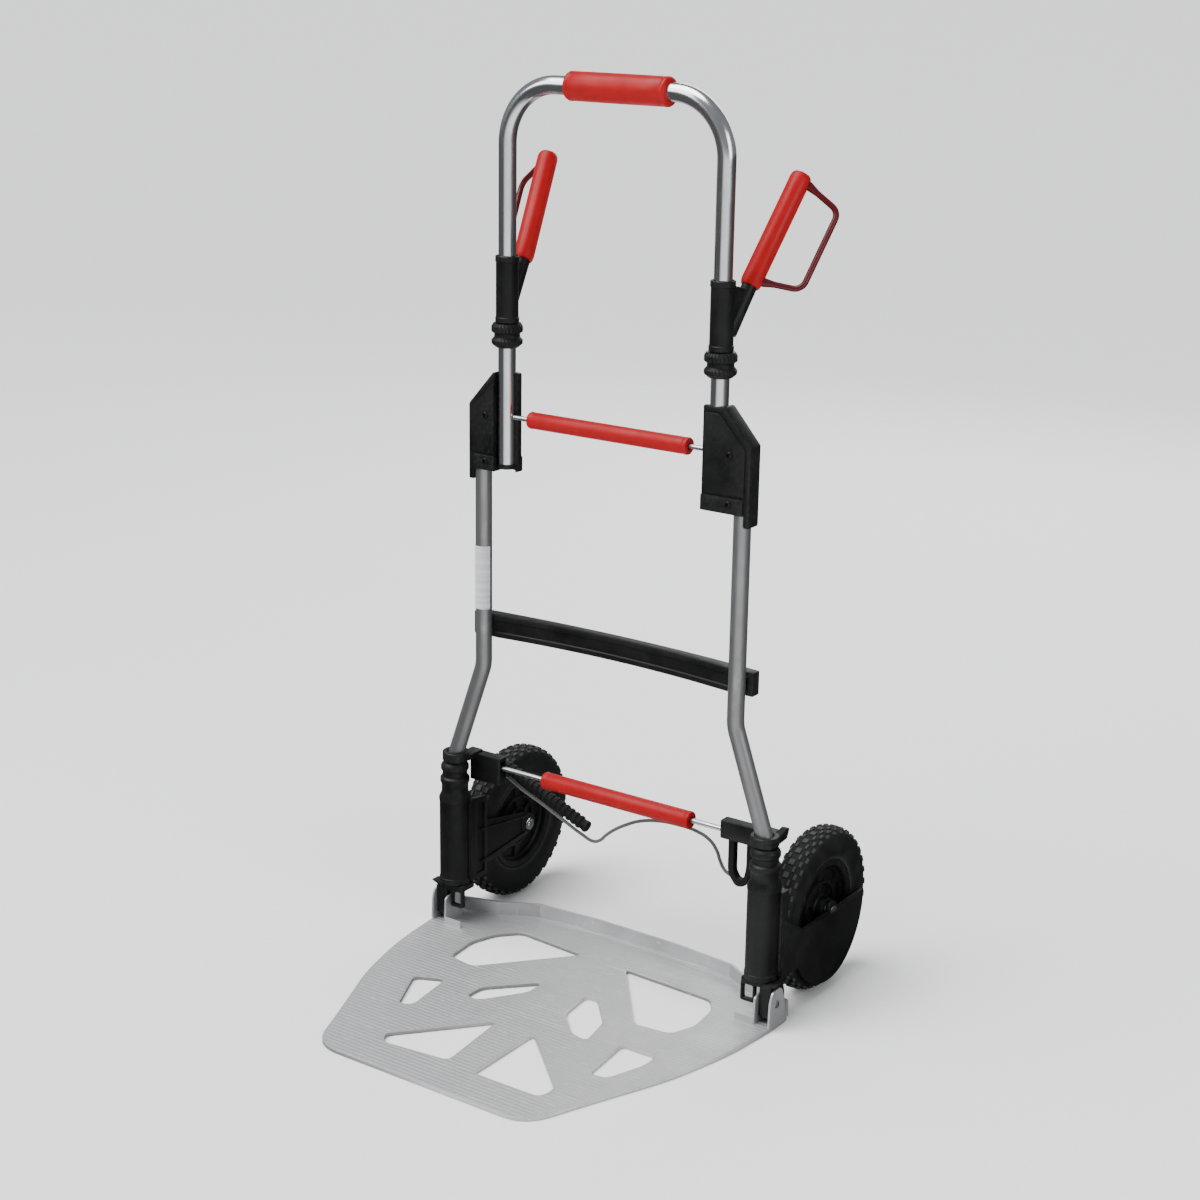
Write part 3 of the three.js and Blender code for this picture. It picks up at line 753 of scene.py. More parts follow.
@dataclass(frozen=True)
class BraidedCord(Finish):
    """Braided cord: crossing strands, with painted shade in the gaps between them and painted highlights on
    their crests.
    """

    strand: float = 420.0

    def material(self) -> bpy.types.Material:
        """Makes the strands with their painted shade and highlights, and their fuzz.

        Returns:
            The finished material.
        """
        shader = self.shader()
        strands = [self.wave(shader, way) for way in ((1, 0.6, 1), (-1, 0.6, 1))]
        weave = shader.math("MULTIPLY", strands[0], strands[1])
        fuzz = shader.noise(900.0, 3.0)
        # Painted shade and highlight: the colour follows the weave's bump height, darker in the gaps between
        # strands and lighter on their crests.
        tint = shader.blend(weave, darker(self.base, 0.55), lighter(self.base, 0.22))
        shader.use("Base Color", shader.blend(shader.times(fuzz, 0.4), tint, darker(self.base, 0.3)))
        shader.use("Roughness", shader.ranged(fuzz, 0.3, 0.7, self.roughness - 0.08, self.roughness + 0.08))
        shader.use("Normal", shader.bump(weave, 0.35 * MM, 0.8))
        shader.surface.inputs["Sheen Weight"].default_value = 0.3
        return shader.material

    def wave(self, shader: Shader, way: Point) -> bpy.types.NodeSocket:
        """Makes one set of slanting strands.

        Args:
            shader: The shader that it is made in.
            way: The slant, as a scale on each axis.

        Returns:
            The strands, from 0 to 1.
        """
        made = shader.node("ShaderNodeTexWave", Vector=shader.stretched(way), Scale=self.strand / 2)
        made.bands_direction = "DIAGONAL"
        return made.outputs["Fac"]


@dataclass(frozen=True)
class PaperFilm(Finish):
    """Blank printed film: faint grey bands without any marking, small creases and a rubbed surface."""

    def material(self) -> bpy.types.Material:
        """Makes the bands, creases and soil.

        Returns:
            The finished material.
        """
        shader = self.shader()
        bands = shader.ranged(shader.noise(1.0, 1.0, (2, 2, 170)), 0.46, 0.56)
        crease = shader.noise(85.0, 5.0)
        tint = shader.blend(shader.times(bands, 0.4), self.base, darker(self.base, 0.3))
        soiled = shader.times(shader.ranged(crease, 0.5, 0.75), 0.5)
        shader.use("Base Color", shader.blend(soiled, tint, darker(self.base, 0.35)))
        shader.use("Roughness", shader.ranged(crease, 0.3, 0.7, self.roughness - 0.1, self.roughness + 0.1))
        shader.use("Normal", shader.bump(crease, 0.2 * MM, 0.6))
        return shader.material


FINISHES: tuple[Finish, ...] = (
    DrawnTube("chrome_tube", (0.7, 0.71, 0.72), 0.14, 1.0),
    DrawnTube("grey_tube", (0.25, 0.254, 0.26), 0.36, 0.8, line=0.03, smudge=0.12),
    DrawnTube("steel", (0.5, 0.51, 0.52), 0.26, 1.0, line=0.03, smudge=0.14),
    DrawnTube("dark_steel", (0.02, 0.02, 0.021), 0.4, 0.9, line=0.03, smudge=0.1),
    RolledAluminium("aluminium", (0.56, 0.565, 0.57), 0.42, 0.65),
    MouldedPlastic("black_plastic", (0.0035, 0.0036, 0.0038), 0.42, gloss=0.2),
    MouldedPlastic("black_rubber", (0.003, 0.003, 0.0032), 0.58, gloss=0.2, grain=0.14),
    TyreRubber("tyre", (0.0055, 0.0057, 0.006), 0.7, gloss=0.22),
    GripSkin("red_grip", (0.37, 0.0008, 0.0035), 0.42, gloss=0.2),
    GripSkin("dark_red", (0.085, 0.0004, 0.003), 0.32, gloss=0.3, pore=0.05),
    BraidedCord("cord", (0.1, 0.105, 0.11), 0.75, gloss=0.3),
    PaperFilm("white_film", (0.62, 0.63, 0.64), 0.55),
)


class Wardrobe:
    """Makes each material once and dresses pieces in it."""

    def __init__(self) -> None:
        """Makes the materials."""
        self.materials = {finish.slot: finish.material() for finish in FINISHES}

    def dress(self, piece: bpy.types.Object, slot: str) -> None:
        """Gives a piece the material of a slot.

        Args:
            piece: The piece.
            slot: The record's material slot.
        """
        piece.data.materials.clear()
        piece.data.materials.append(self.materials[slot])

    def dress_nodes(self) -> None:
        """Gives every CAD node the material of its slot, shown or not."""
        for row in frame["record"]["subparts"]:
            node = frame["nodes"][row["node"]]
            for holder in node.material_slots:
                holder.material = self.materials[row["material_slot"]]


@dataclass
class Assembly:
    """A sub-assembly: it turns solids into pieces that ride on the CAD bodies."""

    wardrobe: Wardrobe

    def piece(self, solid: Solid, name: str, body: str, slot: str, *nodes: str,
              angle: float = 32.0) -> bpy.types.Object:
        """Makes a scene object from a solid.

        Args:
            solid: The finished solid, which is used up.
            name: The piece's name.
            body: The CAD body that it rides on.
            slot: The record's material slot.
            nodes: The CAD nodes that it stands for.
            angle: Edges sharper than this many degrees stay sharp in the shading.

        Returns:
            The object.
        """
        mesh = bpy.data.meshes.new(name)
        solid.bm.to_mesh(mesh)
        solid.bm.free()
        mesh.shade_smooth()
        mesh.set_sharp_from_angle(angle=math.radians(angle))
        made = bpy.data.objects.new(name, mesh)
        bpy.context.scene.collection.objects.link(made)
        self.settle(made, body, slot, *nodes)
        return made

    def settle(self, made: bpy.types.Object, body: str, slot: str, *nodes: str) -> None:
        """Dresses an object and lets it ride on its body in place of CAD nodes.

        Args:
            made: The object.
            body: The CAD body that it rides on.
            slot: The record's material slot.
            nodes: The CAD nodes that it stands for.
        """
        self.wardrobe.dress(made, slot)
        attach(made, body)
        if nodes:
            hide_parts(*nodes)
        LOG.info("made %s on %s", made.name, body)


@dataclass
class SideAssembly(Assembly):
    """A sub-assembly that is drawn on the right and reflected for the left."""

    side: Side

    def side_piece(self, solid: Solid, name: str, body: str, slot: str, *nodes: str,
                   angle: float = 32.0) -> bpy.types.Object:
        """Makes a piece of this side.

        Args:
            solid: The finished solid, drawn on the right.
            name: The piece's name without the side.
            body: The CAD body, without the side.
            slot: The record's material slot.
            nodes: The CAD nodes that it stands for, without the side.
            angle: Edges sharper than this many degrees stay sharp in the shading.

        Returns:
            The object.
        """
        if self.side is Side.LEFT:
            solid.mirrored()
        word = self.side.word
        home = body if body in frame["bodies"] else f"{word}_{body}"
        return self.piece(solid, f"{name}_{word}", home, slot, *(f"{n}_{word}" for n in nodes), angle=angle)


# ---- Sub-assemblies -------------------------------------------------------------------------------


def screw(radius: float, height: float, pocket: float) -> Solid:
    """Makes a domed screw head on Z = 0 with a hexagonal pocket.

    Args:
        radius: The head's radius.
        height: The head's height.
        pocket: The pocket's radius to its corners.

    Returns:
        The head.
    """
    profile = [(0, 0), (radius, 0), (radius, height * 0.3), *((radius * math.cos(a), height * (
        0.3 + 0.7 * math.sin(a))) for a in (0.35, 0.7, 1.05)), (0, height)]
    hexagon = arc((0, 0), pocket, 0, 300, 5)
    return Solid.turned(profile, 32).cut(Solid.slab(hexagon, height * 0.45, height * 2, Plane.UP))


def tube_ends(tube: Solid, wall: float, depth: float) -> Solid:
    """Sinks the flat ends of a bar, so that it shows its wall like a tube.

    Args:
        tube: The bar.
        wall: The wall's thickness.
        depth: How deep the ends are open.

    Returns:
        The bar, changed.
    """
    caps = [f for f in tube.bm.faces if len(f.verts) > 8]
    for cap in caps:
        bmesh.ops.inset_region(tube.bm, faces=[cap], thickness=wall, use_even_offset=True)
        inner = bmesh.ops.extrude_discrete_faces(tube.bm, faces=[cap])["faces"]
        bmesh.ops.translate(tube.bm, verts=inner[0].verts[:], vec=inner[0].normal * -depth)
    return tube


@dataclass
class FrameSide(SideAssembly):
    """Frame tube, corner bracket with its screws, and foot of one side."""

    knee: float = 0.425
    shoulder: float = 0.268
    bend: float = 0.06
    roof_drop: float = 0.048
    roof_flat: float = 0.033
    skirt_width: float = 0.009
    skirt_drop: float = 0.016
    ledge: float = 0.745
    rib_levels: Sequence[float] = (0.756, 0.77, 0.784)
    leg_x: float = 0.174
    leg_room: float = 0.0127
    tube_room: float = 0.0123
    socket: Sequence[float] = (0.061, 0.09)
    sill: float = 0.032
    cheek_x: float = 0.276
    frame_end: float = 0.2685

    def build(self) -> None:
        """Makes every piece."""
        self.tube()
        self.bracket()
        self.screws()
        self.foot()

    def tube(self) -> None:
        """The bent tube."""
        box = Extent.of("frame_tube_right")
        radius = box.size.y / 2
        upper, lower = box.low.x + radius, box.high.x - radius
        corners = [(upper, 0, box.high.z), (upper, 0, self.knee), (lower, 0, self.shoulder),
                   (lower, 0, box.low.z)]
        tube = tube_ends(Solid.bar(corners, radius, self.bend, 40, 14), 1.5 * MM, 30 * MM)
        self.side_piece(tube, "bent_frame_tube", "frame", "grey_tube", "frame_tube")

    def bracket(self) -> None:
        """The moulded bracket; its leg channel opens backwards on the right and forwards on the left."""
        box = Extent.of("corner_bracket_right")
        inner, outer, top, skirt = box.low.x, box.high.x, box.high.z, box.low.z
        bottom = skirt + self.skirt_drop
        outline = [(inner, bottom), (outer - self.skirt_width, bottom), (outer - self.skirt_width, skirt),
                   (outer, skirt), (outer, top - self.roof_drop), (inner + self.roof_flat, top), (inner, top)]
        body = Solid.slab(outline, box.low.y + 2 * MM, box.high.y - 2 * MM, Plane.BACK, 2.2 * MM)
        panel = [(inner + 2 * MM, self.ledge), (outer - 8 * MM, self.ledge),
                 (outer - 8 * MM, top - self.roof_drop - 4 * MM),
                 (inner + self.roof_flat - 6 * MM, top - 9 * MM), (inner + 2 * MM, top - 9 * MM)]
        chin = oblong(inner, bottom, outer - self.skirt_width, self.ledge - 3 * MM)
        body.join(Solid.slab(soft_outline(panel, 4 * MM), box.low.y, box.high.y, Plane.BACK, 1.4 * MM),
                  Solid.slab(chin, box.low.y, box.high.y, Plane.BACK, 1.6 * MM))
        near, far = (-7 * MM, 20 * MM) if self.side is Side.RIGHT else (-20 * MM, 3 * MM)
        end = self.leg_x + self.leg_room
        channel = Solid.slab(oblong(inner - 5 * MM, near, end, far), skirt, top + 5 * MM, Plane.UP)
        leg = Solid.drum(self.leg_room, skirt - PAST, top + PAST).at((self.leg_x, 0, 0))
        tube_box = Extent.of("frame_tube_right")
        tube_x = tube_box.low.x + tube_box.size.y / 2
        socket = Solid.drum(self.tube_room, skirt - PAST, tube_box.high.z).at((tube_x, 0, 0))
        body.cut(channel, leg, socket)
        ribs = [Solid.slab(oblong(tube_x - 14 * MM, z, outer - 3 * MM, z + 2.4 * MM), box.high.y - 3 * MM,
                           box.high.y - 0.5 * MM, Plane.BACK, 0.5 * MM) for z in self.rib_levels]
        body.join(*ribs)
        self.side_piece(body, "moulded_corner_bracket", "frame", "black_plastic", "corner_bracket")

    def screws(self) -> None:
        """The screws in the bracket's front."""
        for name in ("upper", "lower"):
            box = Extent.of(f"bracket_screw_{name}_right")
            head = screw(box.size.x / 2, box.size.y, 2.2 * MM)
            head.moved(Matrix.Translation((box.centre.x, box.high.y, box.centre.z))
                       @ Matrix.Rotation(math.radians(90), 4, "X"))
            self.side_piece(head, f"bracket_bolt_{name}", "frame", "dark_steel", f"bracket_screw_{name}")

    def foot(self) -> None:
        """The cast foot with its square catch frame and the cheek at the hinge."""
        box = Extent.of("foot_right")
        inner, outer, front, top = box.low.x, box.high.x, box.low.y, box.high.z
        roof, back, cheek_back = top - 9.6 * MM, front + 0.03, front + 0.04
        block = Solid.slab(oblong(inner, front, outer, back), roof, top, Plane.UP, 1.6 * MM)
        brow = [(outer - 12 * MM, top - 9 * MM), (outer + 8 * MM, top - 2 * MM),
                (outer + 8.4 * MM, top - 0.2 * MM), (outer - 12 * MM, top - 0.2 * MM)]
        lip = Solid.slab(brow, front - 2 * MM, front + 13 * MM, Plane.BACK, 0.8 * MM)
        window = oblong(inner + 3.4 * MM, self.sill + 4 * MM, self.frame_end - 3 * MM, roof - 0.5 * MM)
        ring = oblong(inner, self.sill, self.frame_end, roof + 2 * MM)
        catch = Solid.slab(soft_outline(ring, 3 * MM), front, front + 7 * MM, Plane.BACK, 0.8 * MM,
                           [soft_outline(window, 2 * MM)])
        profile = [(front, box.low.z), (cheek_back, box.low.z), (cheek_back, roof - 14 * MM), (back, top),
                   (front, top)]
        cheek = Solid.slab(soft_outline(profile, 7 * MM), self.cheek_x, outer, Plane.ACROSS, 1.5 * MM)
        socket = Solid.drum(self.tube_room, *self.socket).at((post_x(), 0, 0))
        body = block.join(lip, catch, cheek).cut(socket)
        self.side_piece(body, "cast_foot", "frame", "black_plastic", "foot")


@dataclass
class UHandle(Assembly):
    """The bright U handle with its soft top grip and leg plugs."""

    bend: float = 0.08

    def build(self) -> None:
        """Makes every piece."""
        box = Extent.of("u_handle")
        radius = box.size.y / 2
        left, right, top = box.low.x + radius, box.high.x - radius, box.high.z - radius
        corners = [(left, 0, box.low.z), (left, 0, top), (right, 0, top), (right, 0, box.low.z)]
        tube = tube_ends(Solid.bar(corners, radius, self.bend, 48, 24), 1.6 * MM, 25 * MM)
        self.piece(tube, "bright_u_tube", "handle", "chrome_tube", "u_handle")
        self.grip(radius)
        for side in Side:
            self.plug(side)

    def grip(self, bore: float) -> None:
        """The foam grip: a long sleeve with a lip and a shallow groove at each end.

        Args:
            bore: The radius of its bore.
        """
        box = Extent.of("top_grip")
        outer, half = box.size.z / 2, box.size.x / 2
        end = [(bore, half), (outer - 4 * MM, half), (outer - 1.2 * MM, half - 1.2 * MM),
               (outer, half - 3.5 * MM), (outer, half - 7 * MM), (outer - 0.9 * MM, half - 8 * MM),
               (outer - 0.9 * MM, half - 9.5 * MM), (outer - 0.2 * MM, half - 11 * MM),
               (outer - 0.1 * MM, half - 30 * MM)]
        profile = [*end, (outer, 0), *((r, -z) for r, z in reversed(end))]
        sleeve = Solid.turned(profile, 56, hollow=True).along_x((box.centre.x, 0, box.centre.z))
        self.piece(sleeve, "foam_top_grip", "handle", "red_grip", "top_grip", angle=45)

    def plug(self, side: Side) -> None:
        """The plug of one leg.

        Args:
            side: The leg's side.
        """
        node = f"handle_leg_plug_{side.word}"
        box = Extent.of(node)
        outer, low = box.size.x / 2, box.low.z
        profile = [(0, low), (outer - 3 * MM, low), (outer - 0.8 * MM, low + 1.2 * MM), (outer, low + 3 * MM),
                   (outer, low + 7.6 * MM), (outer - 1.8 * MM, low + 7.7 * MM),
                   (outer - 1.8 * MM, box.high.z), (0, box.high.z)]
        plug = Solid.turned(profile, 36).at((box.centre.x, 0, 0))
        self.piece(plug, f"leg_end_plug_{side.word}", "handle", "black_plastic", node)


@dataclass
class ReleaseBar(Assembly):
    """A release bar: a steel rod in a red sleeve."""

    name: str

    def build(self) -> None:
        """Makes the rod and the sleeve."""
        rod = Extent.of(f"{self.name}_rod")
        radius, place = rod.size.z / 2, (0, rod.centre.y, rod.centre.z)
        ends = [(0, rod.low.x), (radius - 0.8 * MM, rod.low.x), (radius, rod.low.x + 0.8 * MM)]
        tips = [(radius, rod.high.x - 0.8 * MM), (radius - 0.8 * MM, rod.high.x), (0, rod.high.x)]
        bright = Solid.turned([*ends, *tips], 28).along_x(place)
        self.piece(bright, f"{self.name}_bright_rod", self.name, "steel", f"{self.name}_rod")
        box = Extent.of(f"{self.name}_sleeve")
        outer, half = box.size.z / 2, box.size.x / 2
        end = [(radius + 0.4 * MM, half - 3 * MM), (radius + 1.5 * MM, half - 1 * MM), (outer - 3 * MM, half),
               (outer - 0.8 * MM, half - 0.8 * MM), (outer, half - 2.6 * MM), (outer, half - 6 * MM),
               (outer - 0.7 * MM, half - 7 * MM), (outer - 0.7 * MM, half - 9 * MM),
               (outer - 0.25 * MM, half - 11 * MM)]
        profile = [*end, *((r, -z) for r, z in reversed(end))]
        sleeve = Solid.turned(profile, 40, hollow=True).along_x(place)
        self.piece(sleeve, f"{self.name}_red_sleeve", self.name, "red_grip", f"{self.name}_sleeve", angle=45)


@dataclass
class CrossBar(Assembly):
    """The bowed bar behind the frame tubes."""

    bow: float = 0.014
    saddle: float = 0.044
    thick: float = 0.017
    bore: float = 0.0123
    steps: int = 24

    def build(self) -> None:
        """Makes the bar."""
        box = Extent.of("cross_bar")
        tube = Extent.of("frame_tube_right")
        half, low, high = box.size.x / 2, box.low.z, box.high.z
        front, sag = box.low.y, box.high.y - box.low.y - self.thick
        shares = [2 * k / self.steps - 1 for k in range(self.steps + 1)]
        near = [(s * (half - self.saddle), front + self.bow * (1 - s * s)) for s in shares]
        far = [(s * half, front + self.thick + sag * (1 - s * s)) for s in reversed(shares)]
        outline = [(-half, front), *near, (half, front), *far]
        bar = Solid.slab(outline, low, high, Plane.UP, 1.6 * MM)
        bar.recess((0, -1, 0), 6 * MM, 1.6 * MM, 1e-4)
        x = tube.low.x + tube.size.y / 2
        for way in (-1, 1):
            bar.cut(Solid.drum(self.bore, low - PAST, high + PAST).at((way * x, 0, 0)))
        self.piece(bar, "bowed_cross_bar", "frame", "black_plastic", "cross_bar")


@dataclass
class SideHandle(SideAssembly):
    """Swivelling side handle: clamp sleeve with its arm, grip, guard bow and twist collar."""

    base: Point = (0.184, 0.048, 1.010)
    tip: Point = (0.206, 0.138, 1.150)
    away: Point = (0.81, 0.5, 0)
    guard_rod: float = 0.0042
    grip_radius: float = 0.0145
    reach: float = 0.064
    low: float = 0.024
    high: float = 0.140

    def build(self) -> None:
        """Makes every piece."""
        self.foot, self.head = Vector(self.base), Vector(self.tip)
        self.axis = (self.head - self.foot).normalized()
        self.long = (self.head - self.foot).length
        self.sleeve()
        self.grip()
        self.guard()
        self.collar()

    def spot(self, along: float, out: float) -> Vector:
        """Finds a point beside the grip.

        Args:
            along: How far along the grip.
            out: How far out towards the guard.

        Returns:
            The point.
        """
        away = Vector(self.away)
        away = (away - self.axis * away.dot(self.axis)).normalized()
        return self.foot + self.axis * along + away * out

    def sleeve(self) -> None:
        """The clamp sleeve, its arm and the web between them."""
        box, bush = Extent.of("side_handle_sleeve_right"), Extent.of("clamp_bush_right")
        x, low, high = bush.centre.x, box.low.z, bush.high.z + 1 * MM
        bore, outer = bush.size.x / 2 + 0.2 * MM, bush.size.x / 2 + 2.8 * MM
        profile = [(bore, low), (outer - 0.8 * MM, low), (outer, low + 1 * MM), (outer, low + 7 * MM),
                   (outer - 0.9 * MM, low + 8 * MM), (outer - 0.9 * MM, high - 9 * MM),
                   (outer, high - 8 * MM), (outer, high - 1 * MM), (outer - 1 * MM, high), (bore, high)]
        tube = Solid.turned(profile, 48, hollow=True).at((x, 0, 0))
        arm_end = self.foot + self.axis * 40 * MM
        arm = Solid.bar([(x + 4 * MM, 11 * MM, low + 22 * MM), self.foot, arm_end], 10.4 * MM, 30 * MM, 32, 8)
        web = Solid.slab([(10 * MM, low + 6 * MM), (self.foot.y + 3 * MM, self.foot.z - 8 * MM),
                          (self.foot.y - 6 * MM, self.foot.z - 2 * MM), (10 * MM, high - 6 * MM)],
                         -5 * MM, 7 * MM, Plane.ACROSS, 1.5 * MM)
        web.moved(Matrix.Translation((x, 0, 0)) @ Matrix.Rotation(-0.16, 4, "Z"))
        body = tube.join(arm, web).cut(Solid.drum(bore, low - PAST, high + PAST, 48).at((x, 0, 0)))
        self.side_piece(body, "clamp_sleeve", "side_handle", "black_plastic", "side_handle_sleeve")

    def grip(self) -> None:
        """The red grip with shallow flutes."""
        r, long = self.grip_radius, self.long
        profile = [(0, 0.001), (11 * MM, 0.001), (12.6 * MM, 1.4 * MM), (13.6 * MM, 4 * MM), (r, 9 * MM),
                   *((r, long * k / 8) for k in range(1, 8)), (r, long - 9 * MM),
                   (r - 0.8 * MM, long - 4.5 * MM), (r - 2.8 * MM, long - 1.4 * MM),
                   (r - 6 * MM, long - 0.2 * MM), (0, long)]
        grip = Solid.turned(profile, 48)
        for vert in grip.bm.verts:
            flute = 1 - 0.022 * max(0.0, math.cos(8 * math.atan2(vert.co.y, vert.co.x)))
            if 12 * MM < vert.co.z < long - 10 * MM:
                vert.co.x, vert.co.y = vert.co.x * flute, vert.co.y * flute
        self.side_piece(grip.aimed(self.foot, self.axis), "red_side_grip", "side_handle", "red_grip",
                        "side_handle_grip", angle=50)

    def guard(self) -> None:
        """The guard bow, thicker where it leaves the grip."""
        corners = [self.spot(12 * MM, 8 * MM), self.spot(self.low, self.reach),
                   self.spot(self.high, self.reach), self.spot(self.long - 10 * MM, 8 * MM)]
        bow = Solid.bar(corners, self.guard_rod, 16 * MM, 24, 12)
        for end, after in ((corners[0], corners[1]), (corners[3], corners[2])):
            root = Solid.turned(in_mm([(0, 0), (6.4, 0), (6.0, 9), (4.9, 16), (4.0, 24), (0, 24)]), 24)
            bow.join(root.aimed(end, (after - end).normalized()))
        self.side_piece(bow, "guard_bow", "side_handle", "dark_red", "side_handle_guard", angle=50)

    def collar(self) -> None:
        """The twist collar with two knurled flanges."""
        box = Extent.of("twist_collar_right")
        low, high, bore = box.low.z, box.high.z, 14.2 * MM
        levels = [(15.6, 0), (16.4, 0.5), (21, 4.5), (21.6, 5.4), (21.8, 6.5), (21.8, 10), (21.2, 11),
                  (18.2, 14.4), (18, 15), (18, 19), (18.4, 19.6), (21.4, 21.6), (22, 22.4), (22, 29),
                  (21.4, 30.2), (19.4, 33.5)]
        profile = [(bore, low), *((r * MM, low + z * MM) for r, z in levels), (bore, high)]
        collar = Solid.turned(profile, 96, hollow=True)
        for vert in collar.bm.verts:
            radius, angle = math.hypot(vert.co.x, vert.co.y), math.atan2(vert.co.y, vert.co.x)
            notch = 0.962 if radius > 21.1 * MM and round(angle * 96 / FULL_TURN) % 4 == 0 else 1
            vert.co.x, vert.co.y = vert.co.x * notch, vert.co.y * notch
        self.side_piece(collar.at((box.centre.x, 0, 0)), "knurled_collar", "collar", "black_plastic",
                        "twist_collar", angle=25)


@dataclass
class ToePlate(Assembly):
    """The ribbed toe plate with its cut-outs, rear flange, hinge ears and pins."""

    rib: float = 0.0075
    rise: float = 0.0005
    thick: float = 0.005
    margin: float = 0.0025
    sheet: float = 0.0032
    corner: float = 0.038
    cut_corner: float = 0.011
    edge: Sequence[Point] = ((176, -421), (214, -328), (263, -215), (290, -110), (300.5, -12))
    rear: Sequence[Point] = ((300.5, 36), (232, 56), (176, 86), (70, 95))
    cut_outs: Sequence[Sequence[Point]] = (
        ((-195, -105), (-201, -47), (-187, -7), (-160, 22), (-42, 13), (-150, -113)),
        ((-197, -188), (-154, -168), (-142, -256), (-160, -266)),
        ((-98, -192), (-97, -157), (-36, -94), (-34, -129), (-76, -190)),
        ((-118, -345), (-16, -226), (-2, -352), (-104, -364)),
        ((46, -359), (46, -226), (158, -330), (153, -358)),
        ((45, -150), (38, -92), (56, -89), (104, -143), (115, -198), (86, -193)),
        ((170, -270), (160, -178), (216, -178), (217, -207), (196, -266)),
        ((36, 12), (186, 6), (205, -22), (211, -74), (196, -113), (140, -119)),
    )

    def build(self) -> None:
        """Makes the plate and its pins."""
        plate = self.web()
        plate.join(self.ribs(), self.flange(), *self.ears(), *self.lips())
        self.piece(plate, "ribbed_toe_plate", "plate", "aluminium", "toe_plate", angle=20)
        for side in Side:
            self.pin(side)

    def outlines(self) -> tuple[list[Vector], list[list[Vector]]]:
        """Rounds the plate's outline and its cut-outs.

        Returns:
            The outline, and the list of cut-outs.
        """
        right = in_mm((*self.edge, *self.rear))
        outline = soft_outline([*right, *((-x, y) for x, y in reversed(right))], self.corner, 8)
        holes = [soft_outline(in_mm(points), self.cut_corner, 6) for points in self.cut_outs]
        return outline, holes

    def web(self) -> Solid:
        """The flat plate with its cut-outs."""
        outline, holes = self.outlines()
        return Solid.slab(outline, 0.0, self.thick, Plane.UP, 1.1 * MM, holes, 3)

    def ribs(self) -> Solid:
        """Makes fine ribs along X, which stop short of every edge of the plate.

        Returns:
            The ribs as one sheet.
        """
        outline, holes = self.outlines()
        inset = Solid.slab(outline, 0.0, 0.02, Plane.UP, 0.0, holes)
        for vert in inset.bm.verts:
            walls = [f.normal for f in vert.link_faces if abs(f.normal.z) < 0.5]
            vert.co -= sum(walls, Vector((0, 0, 0))).normalized() * self.margin
        low, high = Extent.of("toe_plate").low.y, Extent.of("toe_plate").high.y
        count = int((high - low) / self.rib) + 1
        valley, crest = self.thick - 0.4 * MM, self.thick + self.rise
        zigzag = [(low + k * self.rib / 2, crest if k % 2 else valley) for k in range(2 * count + 1)]
        half = Extent.of("toe_plate").size.x
        sheet = Solid.slab([*zigzag, (zigzag[-1][0], 2 * MM), (low, 2 * MM)], -half, half, Plane.ACROSS)
        return sheet.combined([inset], "INTERSECT")

    def flange(self) -> Solid:
        """Makes the upturned wall along the rear edge.

        Returns:
            The wall.
        """
        rear = [(x * MM * 0.985, (y - 0.5) * MM) for x, y in self.rear]
        outer = [*rear, *((-x, y) for x, y in reversed(rear))]
        inner = [(x * 0.985, y - self.sheet) for x, y in reversed(outer)]
        return Solid.slab(soft_outline([*outer, *inner], 1.2 * MM, 3), 1 * MM, 25 * MM, Plane.UP, 0.9 * MM)

    def ears(self) -> list[Solid]:
        """Makes two ears at each end of the hinge.

        Returns:
            The four ears.
        """
        y, z = -4 * MM, 36 * MM
        inner = Extent.of("hinge_pin_right").low.x + 2 * MM
        outer = Extent.of("hinge_pin_right").high.x - 0.5 * MM - self.sheet
        made = []
        for low, rise in ((inner, 11 * MM), (outer, 22 * MM)):
            profile = soft_outline([(y - 19 * MM, 2 * MM), (y + 26 * MM, 2 * MM), (y + 22 * MM, z),
                                    (y + 13 * MM, z + rise), (y - 10 * MM, z + rise),
                                    (y - 17 * MM, z + 8 * MM)], 9 * MM, 6)
            for start in (low, -low - self.sheet):
                made.append(Solid.slab(profile, start, start + self.sheet, Plane.ACROSS, 0.7 * MM))
        return made

    def lips(self) -> list[Solid]:
        """Makes a short upright in front of each foot's catch frame.

        Returns:
            The two uprights.
        """
        made = []
        for start, end in ((243 * MM, 273 * MM), (-273 * MM, -243 * MM)):
            outline = oblong(start, -23 * MM, end, -20.6 * MM)
            made.append(Solid.slab(outline, 1 * MM, 15 * MM, Plane.UP, 0.8 * MM))
        return made

    def pin(self, side: Side) -> None:
        """Makes a hinge pin with a domed head at its outer end.

        Args:
            side: The pin's side.
        """
        node = f"hinge_pin_{side.word}"
        box = Extent.of(node)
        r, low, high = box.size.y / 2, -box.size.x / 2, box.size.x / 2
        head = r + 1.6 * MM
        profile = [(0, low), (r - 1 * MM, low), (r, low + 1 * MM), (r, high - 1.2 * MM),
                   (head, high - 1 * MM), (head, high + 0.2 * MM), (head - 1.6 * MM, high + 1.4 * MM),
                   (0, high + 1.8 * MM)]
        pin = Solid.turned(profile, 32).along_x()
        if side is Side.LEFT:
            pin.mirrored()
        self.piece(pin.at(box.centre), f"domed_hinge_pin_{side.word}", "plate", "steel", node)


